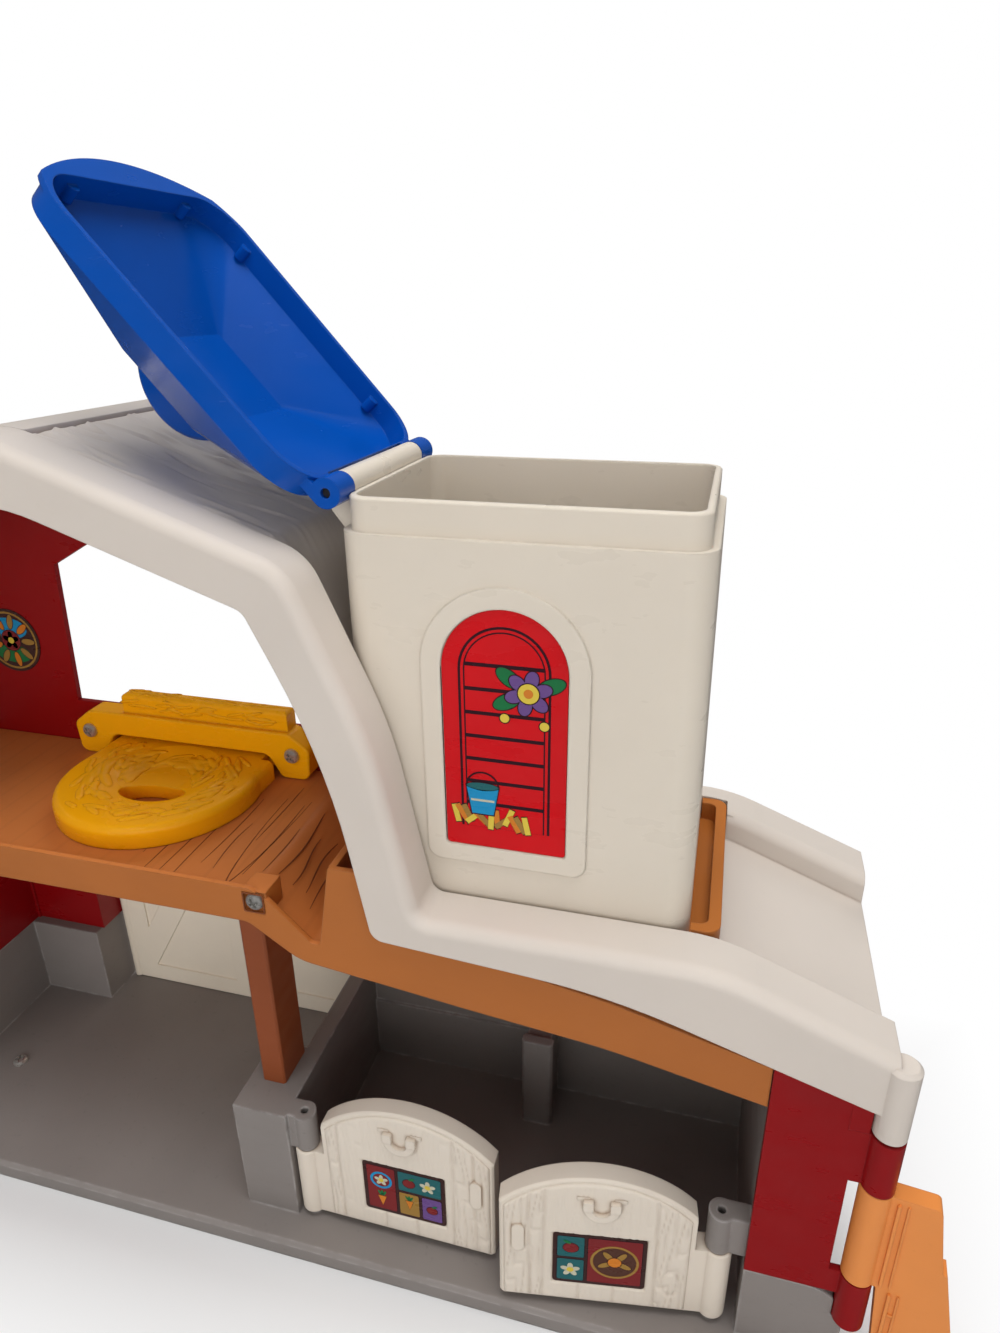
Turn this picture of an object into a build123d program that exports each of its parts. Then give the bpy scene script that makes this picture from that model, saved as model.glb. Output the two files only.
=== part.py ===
from build123d import *
import os

# Toy barn with a lift-up silo lid, stall gates, barn doors and a fence panel.
# X runs left to right, Y front to back, Z up. The origin is the middle of the base's underside.

# ---------------------------------------------------------------- driving dimensions (mm)
wall = 2.5                  # moulded wall
slip_gap = 0.3              # between pieces that pass each other
seat_gap = 0.3              # between fixed pieces that nest
pin_radius = 1.5            # steel hinge pins
running_fit = 0.05          # radial clearance of a pin in the barrel that turns on it

# base
base_length = 412.0
base_depth = 120.0
base_height = 8.0
base_corner = 4.0
front_bevel = 1.5
rib_thickness = 2.5
side_wall_top_z = 52.0      # grey wall and blocks under the red walls

# roof, seen from the front; the slopes meet at these corners before rounding
ridge_x = -82.0             # middle of the two-storey part
ridge_z = 328.0
knee_x = 20.7
knee_z = 290.7
haunch_x = 44.0
haunch_z = 235.8
valley_x = 56.0             # where the steep slope meets the low roof
low_roof_z = 174.2
low_bend_x = 152.0
eave_drop = 21.6            # fall of the low roof from its bend to the eave
rim_underside_z = 308.8     # arch under the front rim, at the ridge
arch_knee_x = 7.1
arch_knee_z = 277.2
arch_haunch_x = 28.7
arch_haunch_z = 230.9
arch_foot_x = 39.8
arch_foot_z = 164.2
arch_bend_x = 118.4
arch_bend_z = 158.8
arch_eave_z = 130.8
left_eave_z = 160.0
roof_front_set = 9.7        # front rim behind the base's front edge
roof_back_over = 1.7        # back rim beyond the base's back edge
rim_width = 19.5
rim_round = 4.5
rim_bevel = 1.6
recess_depth = 11.0
ridge_cap_half = 9.0
eave_barrel_drop = 9.4      # how far the eave barrel hangs below the rim
eave_barrel_rise = 20.0     # its top above the rim's underside

# fence hinge, on the front right corner
fence_hinge_out = 1.3       # axis beyond the base's right edge
fence_barrel_low = 32.0        # foot of the lowest barrel
fence_arm = 11.0
fence_hinge_set = 13.0      # axis behind the base's front edge
corner_barrel_radius = 5.3
fence_reach_top = 19.0
fence_reach_step = 24.2
fence_reach_bottom = 37.0
fence_top_z = 98.7
fence_step_z = 71.0
fence_bottom_z = 12.0
fence_thickness = 6.0
fence_knuckle_low = 55.3
fence_knuckle_high = 98.7
fence_rest = 6.0            # stands this far towards the front

# silo
silo_x = 84.75
silo_width = 111.5
silo_front_set = 29.7       # behind the base's front edge
silo_back_set = 8.0         # in front of the base's back edge
silo_shoulder_z = 297.0
silo_top_z = 307.5
silo_wall = 3.0
silo_corner = 8.5
silo_draft = 1.2            # widening of the right wall towards the foot
lip_inset = 2.3
lip_set = 1.9               # lip behind the silo's front and back faces
inner_ledge_z = 288.0
inner_ledge = 2.0
panel_x = 80.9              # middle of the arched panel on the silo's front
panel_width = 39.6
panel_foot_z = 194.0
panel_top_z = 277.0
frame_width = 6.8
frame_height = 1.0
label_thickness = 0.4

# silo tray
tray_right_x = 151.5
tray_floor = 2.6
tray_rim = 4.0
tray_rim_height = 10.0
tray_corner = 5.0

# silo lid, drawn shut
lid_hinge_x = 27.2
lid_hinge_z = 308.6
lid_barrel_radius = 4.7
lid_open_angle = 131.4
lid_lead = 4.0              # hinge axis to the near edge of the lid's mouth
lid_length = 112.3
lid_depth = 96.0
lid_corner = 16.0
lid_wall = 2.0
lid_skirt = 8.0
lid_height = 27.0
brim_reach = 7.7            # crescent along the free edge, at its middle
brim_half = 38.0
brim_corner = 26.0
brim_thickness = 2.2
lid_crown_length = 38.0
lid_crown_depth = 56.0
lid_crown_corner = 4.0
lid_knuckle = 11.0
lid_mouth_rise = 0.3        # closed mouth above the hinge axis
finial_shift = 4.0
finial_radius = 22.3
finial_thickness = 7.0
finial_chamfer = 1.0
nub_radius = 2.0
nub_height = 5.0

# loft
loft_front_set = 12.7       # behind the base's front edge
loft_floor_z = 168.0
loft_lip_top_z = 174.0
loft_lip_z = 159.5
loft_plate = 2.5
loft_drop_x = -8.8          # where the front lip starts to fall
loft_kerb_foot_x = 18.5
loft_kerb_foot_z = 154.9
loft_kerb_x = 24.3
loft_kerb_z = 188.0
fascia_right_x = 171.0
loft_screw_x = -5.4
loft_screw_z = 168.2
post_x = -23.3
post_width = 10.3
post_depth = 18.0
post_front_set = 14.3       # behind the loft's front edge

# ground floor
block_top_z = 64.0
block_left_x = -29.0
block_right_x = -5.6
block_depth = 34.3
stall_wall_left_x = -13.0
stall_right_x = 172.0
stall_right_top_z = 118.0
stall_step_z = 41.0
partition_x = 81.0
partition_width = 14.0
partition_length = 23.0
partition_top_z = 55.0
corner_block_top_z = 44.0
corner_block_round = 14.0
base_screw_in = 27.0        # from the base's left edge
base_screw_y = -11.0

# walls
right_wall_set = 7.7        # right end wall in from the base's edge
return_front_set = 12.0     # behind the base's front edge
return_left_x = 171.3
back_wall_set = 17.0        # inner face in front of the base's back edge
door_block_lead = 5.0       # door blocks in front of the back wall
window_left_x = -143.0
window_sill_z = 189.0
window_shoulder_z = 255.0
window_top_z = 272.0
window_cut = 31.0
window_splay = 3.0          # the sill is this much wider each side
label_disc_radius = 15.5
label_disc_x = -176.0
label_disc_z = 216.5

# barn doors
doorway_x = -82.0
doorway_half = 80.0
doorway_top_z = 140.0
door_front_set = 3.0        # in front of the base's back edge
door_thickness = 3.0
door_clearance = 0.5
door_frame = 13.0
door_rail = 10.0
door_relief = 0.8
door_edge_radius = 2.4
door_stub_radius = 1.6
door_stub_length = 2.2
stub_fit = 0.1

# stall gates
gate_hinge_set = 17.7       # behind the base's front edge
gate_barrel_radius = 5.3
gate_knuckle_radius = 4.6
gate_left_hinge_x = 0.3
gate_right_hinge_x = 162.0
gate_barrel_high = 46.2
knuckle_low = 46.6
gate_boss_radius = 3.0
gate_thickness = 7.0        # panel centred on its hinge axis
gate_reach = 79.0
gate_foot_z = 11.0
gate_shoulder_z = 62.2
gate_crown_z = 77.6
gate_ajar = 8.9             # right gate stands open by this angle
gate_label_width = 34.0
gate_label_height = 27.0
gate_label_z = 35.5
shoe_z = 64.5
shoe_radius = 7.0
gate_knob_z = 45.5
gate_knob_length = 14.0
gate_knob_width = 4.6

# hay holder in the loft
hay_x = -82.0
hay_bar_depth = 10.2        # from its front to the back wall
hay_half = 59.0
hay_screw_half = 51.0
hay_screw_z = 180.0
hay_bar_low = 179.0
hay_bar_top = 190.0
hay_shoulder = 7.0
hay_ear = 15.0
straw_left_x = -115.0
straw_right_x = -33.0
straw_top = 199.0
flap_radius = 42.0
flap_offset = 1.5           # ring centre to the right of the bar's middle
flap_hole_half = 15.0
flap_reach = 28.0           # ring centre in front of its hinge
flap_hole_reach = 40.0
flap_thickness = 9.0
flap_dish_radius = 25.0
flap_dish_depth = 3.0
flap_hinge_set = 5.5        # in front of the back wall
flap_hinge_z = 173.0
flap_barrel_radius = 3.5

# screws
screw_head_radius = 3.4
screw_head_height = 2.2
screw_shank_radius = 1.4
screw_length = 8.0
screw_chamfer = 0.9

base_left = -base_length / 2
base_right = base_length / 2
base_front = -base_depth / 2
base_back = base_depth / 2
above_all = ridge_z + 70
eave_x = base_right
right_wall_x = base_right - right_wall_set
base_screw_x = base_left + base_screw_in
roof_front_y = base_front + roof_front_set
roof_back_y = base_back + roof_back_over
return_front_y = base_front + return_front_set
loft_front_y = base_front + loft_front_set
post_front_y = loft_front_y + post_front_set
block_back_y = loft_front_y + block_depth
gate_hinge_y = base_front + gate_hinge_set
gate_front_set = -gate_thickness / 2
knuckle_high = block_top_z
gate_label_middle = (gate_reach + gate_barrel_radius) / 2
fence_hinge_x = base_right + fence_hinge_out
fence_hinge_y = base_front + fence_hinge_set
back_wall_y = base_back - back_wall_set
door_block_front_y = back_wall_y - door_block_lead
partition_front_y = back_wall_y - partition_length
door_front_y = base_back - door_front_set
hay_front_y = back_wall_y - hay_bar_depth
flap_hinge_y = back_wall_y - flap_hinge_set
flap_centre_x = hay_x + flap_offset
flap_centre_y = flap_hinge_y - flap_reach
flap_hole_x = flap_centre_x + 4.0
flap_hole_y = flap_hinge_y - flap_hole_reach
silo_front_y = base_front + silo_front_set
silo_back_y = base_back - silo_back_set
silo_depth = silo_back_y - silo_front_y
silo_left_x = silo_x - silo_width / 2
silo_right_x = silo_x + silo_width / 2
front_rim_back_y = roof_front_y + rim_width
back_rim_front_y = roof_back_y - rim_width
lid_middle_y = (silo_front_y + silo_back_y) / 2
barrel_foot_z = arch_eave_z - eave_barrel_drop


# ---------------------------------------------------------------- helpers
def outline(*corners):
    """Closed face from (x, z) corners; a third value rounds the corner."""
    face = make_face(Polyline(*[(corner[0], corner[1]) for corner in corners], close=True))
    for corner in corners:
        if len(corner) == 3:
            vertex = face.vertices().sort_by_distance((corner[0], corner[1]))[0]
            face = fillet(vertex, corner[2])
    return face


def slab(face, y_front, y_back):
    """An (x, z) face made solid from y_front to y_back."""
    return extrude(Plane.XZ.offset(-y_back) * face, amount=y_back - y_front)


def plate(face, z_low, z_high):
    """An (x, y) face made solid from z_low to z_high."""
    return extrude(Plane.XY.offset(z_low) * face, amount=z_high - z_low)


def block(x_low, x_high, y_low, y_high, z_low, z_high):
    size = (x_high - x_low, y_high - y_low, z_high - z_low)
    middle = ((x_low + x_high) / 2, (y_low + y_high) / 2, (z_low + z_high) / 2)
    return Pos(*middle) * Box(*size)


def upright(x, y, radius, z_low, z_high):
    """Vertical cylinder."""
    return Pos(x, y, (z_low + z_high) / 2) * Cylinder(radius, z_high - z_low)


def along_y(x, z, radius, y_low, y_high):
    """Cylinder along Y."""
    return Pos(x, (y_low + y_high) / 2, z) * Rot(90, 0, 0) * Cylinder(radius, y_high - y_low)


def along_x(y, z, radius, x_low, x_high):
    """Cylinder along X."""
    return Pos((x_low + x_high) / 2, y, z) * Rot(0, 90, 0) * Cylinder(radius, x_high - x_low)


def mirrored(x):
    """The matching x on the other side of the ridge."""
    return 2 * ridge_x - x


def write(name, shape):
    shape.label = name
    export_step(shape, f"parts/{name}.step")


# ---------------------------------------------------------------- roof
def roof_section(inset):
    """All that lies more than inset below the roof's outer skin, seen from the front."""
    slope = eave_drop / (eave_x - low_bend_x)
    far_right = eave_x + 60
    steep = (haunch_z - low_roof_z) / (valley_x - haunch_x)
    floor_z = -60.0
    left_foot_x = mirrored(haunch_x + (haunch_z - floor_z) / steep)
    face = outline(
        (left_foot_x, floor_z),
        (mirrored(haunch_x), haunch_z, 150),
        (mirrored(knee_x), knee_z, 18),
        (ridge_x, ridge_z, 40),
        (knee_x, knee_z, 18),
        (haunch_x, haunch_z, 150),
        (valley_x, low_roof_z, 5),
        (low_bend_x, low_roof_z, 60),
        (far_right, low_roof_z - slope * (far_right - low_bend_x)),
        (far_right, floor_z),
    )
    if inset:
        face = offset(face, amount=-inset)
    return face


def arch_opening(inset=0.0):
    """The space under the front rim, drawn in by inset."""
    floor_z = -40.0
    steep = (arch_haunch_z - arch_foot_z) / (arch_foot_x - arch_haunch_x)
    fall = (arch_bend_z - arch_eave_z) / (eave_x - arch_bend_x)
    face = outline(
        (mirrored(arch_haunch_x + (arch_haunch_z - floor_z) / steep), floor_z),
        (mirrored(arch_haunch_x), arch_haunch_z, 240),
        (mirrored(arch_knee_x), arch_knee_z, 6),
        (ridge_x, rim_underside_z, 70),
        (arch_knee_x, arch_knee_z, 6),
        (arch_haunch_x, arch_haunch_z, 240),
        (arch_foot_x, arch_foot_z, 5),
        (arch_bend_x, arch_bend_z, 200),
        (eave_x + 30, arch_eave_z - 30 * fall),
        (eave_x + 30, floor_z),
    )
    if inset:
        face = offset(face, amount=-inset)
    return face


def eave_window():
    """Keeps the roof between its two eaves."""
    left_x = ridge_x - 150.0
    return outline(
        (left_x, left_eave_z),
        (arch_foot_x, left_eave_z),
        (arch_foot_x, 100),
        (eave_x, 100),
        (eave_x, above_all),
        (left_x, above_all),
    )


def window_of(x_low, x_high, z_low, z_high):
    return outline((x_low, z_low), (x_high, z_low), (x_high, z_high), (x_low, z_high))


def rim(y_front, y_back):
    """One solid rim band, its front outer edge rounded and its back one bevelled."""
    band = slab((roof_section(0) - arch_opening()) & eave_window(), y_front, y_back)
    skin = roof_section(0).wire()
    rounded = []
    for edge in band.edges():
        middle = edge @ 0.5
        along_face = abs((edge @ 0).Y - (edge @ 1).Y) < 0.01
        between_eaves = middle.Z > left_eave_z + 1 or (middle.X > 0 and middle.X < eave_x - 0.5)
        if along_face and between_eaves and skin.distance_to(Vertex(middle.X, middle.Z, 0)) < 0.05:
            rounded.append(edge)
    front_ones = [edge for edge in rounded if (edge @ 0.5).Y < y_front + 0.01]
    band = fillet(front_ones, rim_round)
    back_ones = []
    for edge in band.edges():
        middle = edge @ 0.5
        on_back = min((edge @ 0).Y, (edge @ 1).Y) > y_back - 0.01
        between_eaves = middle.Z > left_eave_z + 1 or (middle.X > 0 and middle.X < eave_x - 0.5)
        if on_back and between_eaves and skin.distance_to(Vertex(middle.X, middle.Z, 0)) < 0.05:
            back_ones.append(edge)
    return chamfer(back_ones, rim_bevel)


def roof():
    limits = eave_window()
    front = rim(roof_front_y, front_rim_back_y)
    back = rim(back_rim_front_y, roof_back_y)
    under_skin = roof_section(wall)
    left_limit = ridge_x - 160
    channel = under_skin & window_of(left_limit, eave_x - wall, 0, above_all)
    front -= slab(channel, roof_front_y + wall, front_rim_back_y - wall)
    back -= slab(channel, back_rim_front_y + wall, roof_back_y - wall)
    # thatch skin between the rims
    skin_face = (roof_section(recess_depth) - roof_section(recess_depth + wall)) & limits
    skin = slab(skin_face, front_rim_back_y - wall / 2, back_rim_front_y + wall / 2)
    # pocket in the back rim for the back of the silo and its tray
    bay_left = silo_left_x - slip_gap
    bay_right = tray_right_x + slip_gap
    bay_back = silo_back_y + slip_gap
    bay = window_of(bay_left, bay_right, left_eave_z, above_all)
    bay_lining = window_of(bay_left - wall, bay_right + wall, left_eave_z - 20, above_all)
    lining_face = (roof_section(0.8) - roof_section(recess_depth + wall)) & bay_lining
    shell = front + back + skin
    shell += slab(lining_face, back_rim_front_y + wall / 2, bay_back + wall)
    pocket_face = (roof_section(-20) - roof_section(recess_depth)) & bay
    shell -= slab(pocket_face, front_rim_back_y + 1, bay_back)
    # ridge cap, level with the rims
    cap_left = ridge_x - ridge_cap_half
    cap_right = ridge_x + ridge_cap_half
    over_ridge = window_of(cap_left, cap_right, haunch_z, above_all)
    under_cap = window_of(cap_left + wall, cap_right - wall, haunch_z, above_all)
    cap = (roof_section(0) - roof_section(recess_depth + wall)) & over_ridge
    hollow = (roof_section(wall) - roof_section(recess_depth + 3 * wall)) & under_cap
    shell += slab(cap - hollow, front_rim_back_y - wall / 2, back_rim_front_y + wall / 2)
    # plates that close the two eaves
    right_eave = window_of(eave_x - wall, eave_x, 100, above_all)
    left_eave = window_of(left_limit, 0, left_eave_z, left_eave_z + wall)
    for eave in (right_eave, left_eave):
        plate_face = (roof_section(recess_depth) - arch_opening()) & eave
        shell += slab(plate_face, front_rim_back_y - wall / 2, back_rim_front_y + wall / 2)
    # barrel at the front corner of the right eave, above the fence hinge
    barrel_top = arch_eave_z + eave_barrel_rise
    barrel = upright(fence_hinge_x, fence_hinge_y, corner_barrel_radius, barrel_foot_z, barrel_top)
    barrel = chamfer(barrel.edges(), 1.2)
    reach = block(eave_x - wall, fence_hinge_x, roof_front_y + 0.6, fence_hinge_y + 4.5,
                  arch_eave_z + 0.5, barrel_top - 2)
    return shell + barrel + reach


# ---------------------------------------------------------------- base
def base_tray():
    """The grey tray: floor, stall walls, door blocks and gate knuckles in one hollow moulding."""
    body = plate(RectangleRounded(base_length, base_depth, base_corner), 0, base_height)
    body = chamfer(body.faces().sort_by(Axis.Z)[-1].edges(), front_bevel)
    floor_z = base_height - 0.5
    wall_back = back_wall_y + wall
    # low wall on the left, and the blocks either side of the doorway
    body += block(base_left, base_left + 3, return_front_y + 1, door_block_front_y + 1, floor_z,
                  side_wall_top_z)
    door_left = doorway_x - doorway_half
    door_right = doorway_x + doorway_half
    body += block(base_left, door_left - 1, door_block_front_y, base_back, floor_z, side_wall_top_z)
    body += block(door_right, door_right + 12, back_wall_y, base_back, floor_z, side_wall_top_z)
    # gate block, and the left wall of the stalls running back from it
    body += block(block_left_x, block_right_x, loft_front_y, block_back_y, floor_z, block_top_z)
    body += block(stall_wall_left_x, block_right_x, block_back_y - 1, wall_back, floor_z, block_top_z)
    # back wall of the stalls with its step
    stalls_end = stall_right_x + 1
    body += block(block_right_x - 1, stalls_end, back_wall_y, wall_back, floor_z, block_top_z)
    body += block(block_right_x - 1, stalls_end, back_wall_y - 1.5, wall_back, floor_z, stall_step_z)
    # stub between the two stalls
    stub_left = partition_x - partition_width / 2
    stub_right = partition_x + partition_width / 2
    body += block(stub_left + 1.5, stub_right - 1.5, partition_front_y + 2, wall_back, floor_z,
                  partition_top_z)
    stub = block(stub_left, stub_right, partition_front_y, partition_front_y + 5, floor_z,
                 partition_top_z + 1.5)
    body += chamfer(stub.edges().filter_by(Axis.Z), 1.2)
    # right wall of the stalls, the low wall outside it and the corner block
    stall_front = return_front_y + wall + slip_gap
    stall_right = stall_right_x + wall
    body += block(stall_right_x, stall_right, stall_front, back_wall_y - seat_gap, floor_z, stall_right_top_z)
    body += block(stall_right_x, stall_right, stall_front, wall_back, floor_z, block_top_z)
    body += block(right_wall_x - 3, right_wall_x + 0.5, return_front_y + 1, wall_back, floor_z,
                  corner_block_top_z)
    corner = outline(
        (return_left_x, floor_z),
        (base_right, floor_z),
        (base_right, corner_block_top_z, corner_block_round),
        (return_left_x, corner_block_top_z),
    )
    body += slab(corner, return_front_y, return_front_y + 9)
    # bosses under the gates and knuckles over them
    for hinge_x in (gate_left_hinge_x, gate_right_hinge_x):
        body += upright(hinge_x, gate_hinge_y, gate_boss_radius, floor_z, gate_foot_z - slip_gap)
        body += upright(hinge_x, gate_hinge_y, gate_knuckle_radius, knuckle_low, knuckle_high)
    web_front = gate_hinge_y - gate_knuckle_radius + 1.0
    web_back = gate_hinge_y + gate_knuckle_radius - 0.2
    body += block(block_right_x - 1, gate_left_hinge_x, web_front, web_back, knuckle_low, knuckle_high)
    body += block(gate_right_hinge_x, stall_right_x + 1, stall_front, web_back, knuckle_low, knuckle_high)
    # hollow underneath, with stiffening ribs
    hollow = RectangleRounded(base_length - 4 * wall, base_depth - 4 * wall, base_corner)
    under = plate(hollow, -1, base_height - wall)
    for rib_x in (-base_length / 3, -base_length / 9, base_length / 9, base_length / 3):
        rib_left = rib_x - rib_thickness / 2
        under -= block(rib_left, rib_left + rib_thickness, base_front, base_back, -2, base_height)
    under -= block(base_left, base_right, -rib_thickness / 2, rib_thickness / 2, -2, base_height)
    body -= under
    body -= block(block_left_x + wall, block_right_x - wall, loft_front_y + wall, block_back_y - wall,
                  -1, block_top_z - wall)
    body -= block(base_left + 3 + wall, door_left - 1 - wall, door_block_front_y + wall, base_back - 2 * wall,
                  -1, side_wall_top_z - wall)
    for hinge_x in (gate_left_hinge_x, gate_right_hinge_x):
        body -= upright(hinge_x, gate_hinge_y, pin_radius, -1, knuckle_high + 1)
    for side in (-1, 1):
        body -= upright(door_axis_x(side), door_axis_y(), door_stub_radius + stub_fit, -1, base_height + 1)
    body -= upright(base_screw_x, base_screw_y, screw_shank_radius, -1, base_height + 1)
    body -= upright(fence_hinge_x, fence_hinge_y, corner_barrel_radius + slip_gap,
                    fence_barrel_low - slip_gap, 60)
    return body


def base_screw():
    head = upright(base_screw_x, base_screw_y, screw_head_radius, base_height, base_height + 1.6)
    shank = upright(base_screw_x, base_screw_y, screw_shank_radius - 0.02, 1.0, base_height + 0.2)
    return chamfer(head.edges().group_by(Axis.Z)[-1], screw_chamfer) + shank


# ---------------------------------------------------------------- walls
def end_wall_left():
    """Red wall on the grey one, up to the eave."""
    return block(base_left, base_left + wall + 0.3, return_front_y + 1, door_block_front_y + 4.7,
                 side_wall_top_z, left_eave_z - seat_gap)


def end_wall_right():
    """Red side wall, with a return across the front corner that carries the fence hinge."""
    inner = right_wall_x - wall
    side_strip = window_of(inner, right_wall_x, corner_block_top_z, above_all)
    front_strip = window_of(return_left_x, right_wall_x, corner_block_top_z, above_all)
    panel = slab(arch_opening(seat_gap) & side_strip, return_front_y, back_wall_y - seat_gap)
    under_skin = roof_section(recess_depth + wall + seat_gap) & side_strip
    panel += slab(under_skin, front_rim_back_y + slip_gap, back_rim_front_y - slip_gap)
    panel += slab(arch_opening(seat_gap) & front_strip, return_front_y, return_front_y + wall)
    # barrels above and below the fence knuckle
    pairs = ((fence_barrel_low, fence_knuckle_low - slip_gap), (fence_knuckle_high + slip_gap, barrel_foot_z - slip_gap))
    for z_low, z_high in pairs:
        arm_low = max(z_low, corner_block_top_z)
        panel += upright(fence_hinge_x, fence_hinge_y, corner_barrel_radius, z_low, z_high)
        panel += block(right_wall_x - 1, fence_hinge_x, return_front_y, return_front_y + wall,
                       arm_low, z_high)
    notch = block(fence_hinge_x - corner_barrel_radius - 1.2, fence_hinge_x + 8,
                  return_front_y - 8, fence_hinge_y + corner_barrel_radius + 1.2,
                  fence_knuckle_low - slip_gap, fence_knuckle_high + slip_gap)
    panel -= notch
    panel -= upright(fence_hinge_x, fence_hinge_y, corner_barrel_radius + slip_gap,
                     barrel_foot_z - slip_gap, 160)
    panel -= upright(fence_hinge_x, fence_hinge_y, pin_radius, fence_barrel_low + 3, barrel_foot_z - 3)
    return panel


def window_outline():
    """Six-sided loft window, widening a little to its sill."""
    right_x = mirrored(window_left_x)
    return outline(
        (window_left_x - window_splay, window_sill_z),
        (right_x + window_splay, window_sill_z),
        (right_x, window_shoulder_z),
        (right_x - window_cut, window_top_z),
        (window_left_x + window_cut, window_top_z),
        (window_left_x, window_shoulder_z),
    )


def back_wall():
    """Red back wall of both storeys, with the loft window and the frame of the doorway."""
    left = base_left + wall + 2 * seat_gap + 0.3
    right = right_wall_x - wall - seat_gap
    door_left = doorway_x - doorway_half
    door_right = doorway_x + doorway_half
    stall_end = stall_right_x + wall + seat_gap
    sheet = window_of(left, door_left, side_wall_top_z, above_all)
    sheet += window_of(door_left, door_right, doorway_top_z, above_all)
    sheet += window_of(door_right, stall_end, block_top_z, above_all)
    sheet += window_of(stall_end, right, corner_block_top_z, above_all)
    sheet &= arch_opening(seat_gap)
    sheet &= roof_section(recess_depth + wall + seat_gap)
    sheet -= window_outline()
    panel = slab(sheet, back_wall_y, back_wall_y + wall)
    frame_front = back_wall_y + 1
    frame_back = door_front_y + door_thickness + 1
    frame_left = door_left - wall
    frame_right = door_right + wall
    frame_top = doorway_top_z + wall
    panel += block(frame_left, door_left, frame_front, frame_back, side_wall_top_z, frame_top)
    panel += block(door_right, frame_right, frame_front, frame_back, block_top_z, frame_top)
    panel += block(frame_left, frame_right, frame_front, frame_back, doorway_top_z, frame_top)
    for side in (-1, 1):
        panel -= upright(door_axis_x(side), door_axis_y(), door_stub_radius + stub_fit,
                         doorway_top_z - 1, doorway_top_z + wall + 1)
    for side in (-1, 1):
        panel -= along_y(hay_x + side * hay_screw_half, hay_screw_z, screw_shank_radius,
                         back_wall_y - 1, back_wall_y + wall + 1)
    return panel


# ---------------------------------------------------------------- loft
def loft_deck():
    """Loft floor with its front lip, the ramp to the kerb and the fascia over the stalls."""
    left = base_left + wall + 2 * seat_gap + 0.3
    front = outline(
        (left, loft_lip_z),
        (loft_drop_x, loft_lip_z, 8),
        (9.9, 146.4, 18),
        (70, 138.9, 60),
        (119.1, 133.4, 200),
        (fascia_right_x, 122.6),
        (fascia_right_x, 139),
        (120, 153),
        (60, 164),
        (48, 171),
        (42, loft_kerb_z),
        (loft_kerb_x, loft_kerb_z, 1),
        (loft_kerb_foot_x, loft_kerb_foot_z, 1.5),
        (loft_kerb_foot_x - 3.5, loft_kerb_foot_z, 2),
        (loft_drop_x + 9, loft_lip_top_z - 4, 6),
        (loft_drop_x + 2, loft_lip_top_z, 5),
        (left, loft_lip_top_z),
    )
    deck = slab(front, loft_front_y, loft_front_y + 2.0)
    ramp_foot = loft_kerb_foot_z - 1.0
    floor = outline(
        (left, loft_floor_z - loft_plate),
        (loft_drop_x - 1, loft_floor_z - loft_plate, 8),
        (loft_kerb_foot_x - 5, ramp_foot - loft_plate, 3),
        (loft_kerb_foot_x + wall, ramp_foot - loft_plate, 2),
        (loft_kerb_x + wall, loft_kerb_z),
        (loft_kerb_x, loft_kerb_z),
        (loft_kerb_foot_x, ramp_foot),
        (loft_kerb_foot_x - 4, ramp_foot, 3),
        (loft_drop_x, loft_floor_z, 8),
        (left, loft_floor_z),
    )
    floor &= arch_opening(seat_gap)
    deck += slab(floor, loft_front_y + 1, back_wall_y - seat_gap)
    for rib_x in (-165.0, -110.0, -55.0):
        deck += block(rib_x, rib_x + wall, loft_front_y + 1, back_wall_y - seat_gap,
                      loft_lip_z + 1, loft_floor_z - 1)
    for screw_x in loft_screw_places():
        deck += block(screw_x - 4.8, screw_x + 4.8, loft_front_y + 0.5, loft_front_y + screw_length + 3,
                      loft_screw_z - 5.0, loft_screw_z + 4.5)
        recess = window_of(screw_x - 4.2, screw_x + 4.2, loft_screw_z - 4.2, loft_screw_z + 4.2)
        deck -= slab(recess, loft_front_y - 1, loft_front_y + 1.5)
        deck -= along_y(screw_x, loft_screw_z, screw_shank_radius, loft_front_y - 1,
                        loft_front_y + screw_length + 2)
    return deck


def loft_screw_places():
    return (loft_screw_x, mirrored(loft_screw_x))


def loft_screws():
    seat_y = loft_front_y + 1.5
    return Compound([screw_along_y(x, loft_screw_z, seat_y) for x in loft_screw_places()])


def screw_along_y(x, z, seat_y):
    """Screw driven towards the back, its head bearing at seat_y."""
    head = along_y(x, z, screw_head_radius, seat_y - screw_head_height, seat_y)
    head = chamfer(head.edges().group_by(Axis.Y)[0], screw_chamfer)
    return head + along_y(x, z, screw_shank_radius - 0.02, seat_y - 0.2, seat_y + screw_length)


def loft_post():
    """Square post between the gate block and the loft floor."""
    shaft = block(post_x, post_x + post_width, post_front_y, post_front_y + post_depth,
                  block_top_z, loft_floor_z - loft_plate)
    return chamfer(shaft.edges().filter_by(Axis.Z), 0.8)


# ---------------------------------------------------------------- silo
def silo_tray():
    left_x = valley_x + 9.0
    low_z = low_roof_z - recess_depth + seat_gap
    front_y = front_rim_back_y + slip_gap
    back_y = silo_back_y
    size_x = tray_right_x - left_x
    size_y = back_y - front_y
    middle = ((left_x + tray_right_x) / 2, (front_y + back_y) / 2)
    footprint = Pos(*middle) * RectangleRounded(size_x, size_y, tray_corner)
    tray = plate(footprint, low_z, low_z + tray_floor)
    inner = Pos(*middle) * RectangleRounded(size_x - 2 * tray_rim, size_y - 2 * tray_rim, tray_corner - 2)
    kerb = plate(footprint - inner, low_z, low_z + tray_rim_height)
    foot_right = silo_right_x + silo_draft
    kerb -= block(left_x - 1, foot_right + slip_gap, front_y - 1, back_y + 1, low_z + tray_floor, 200)
    return tray + kerb


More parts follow.
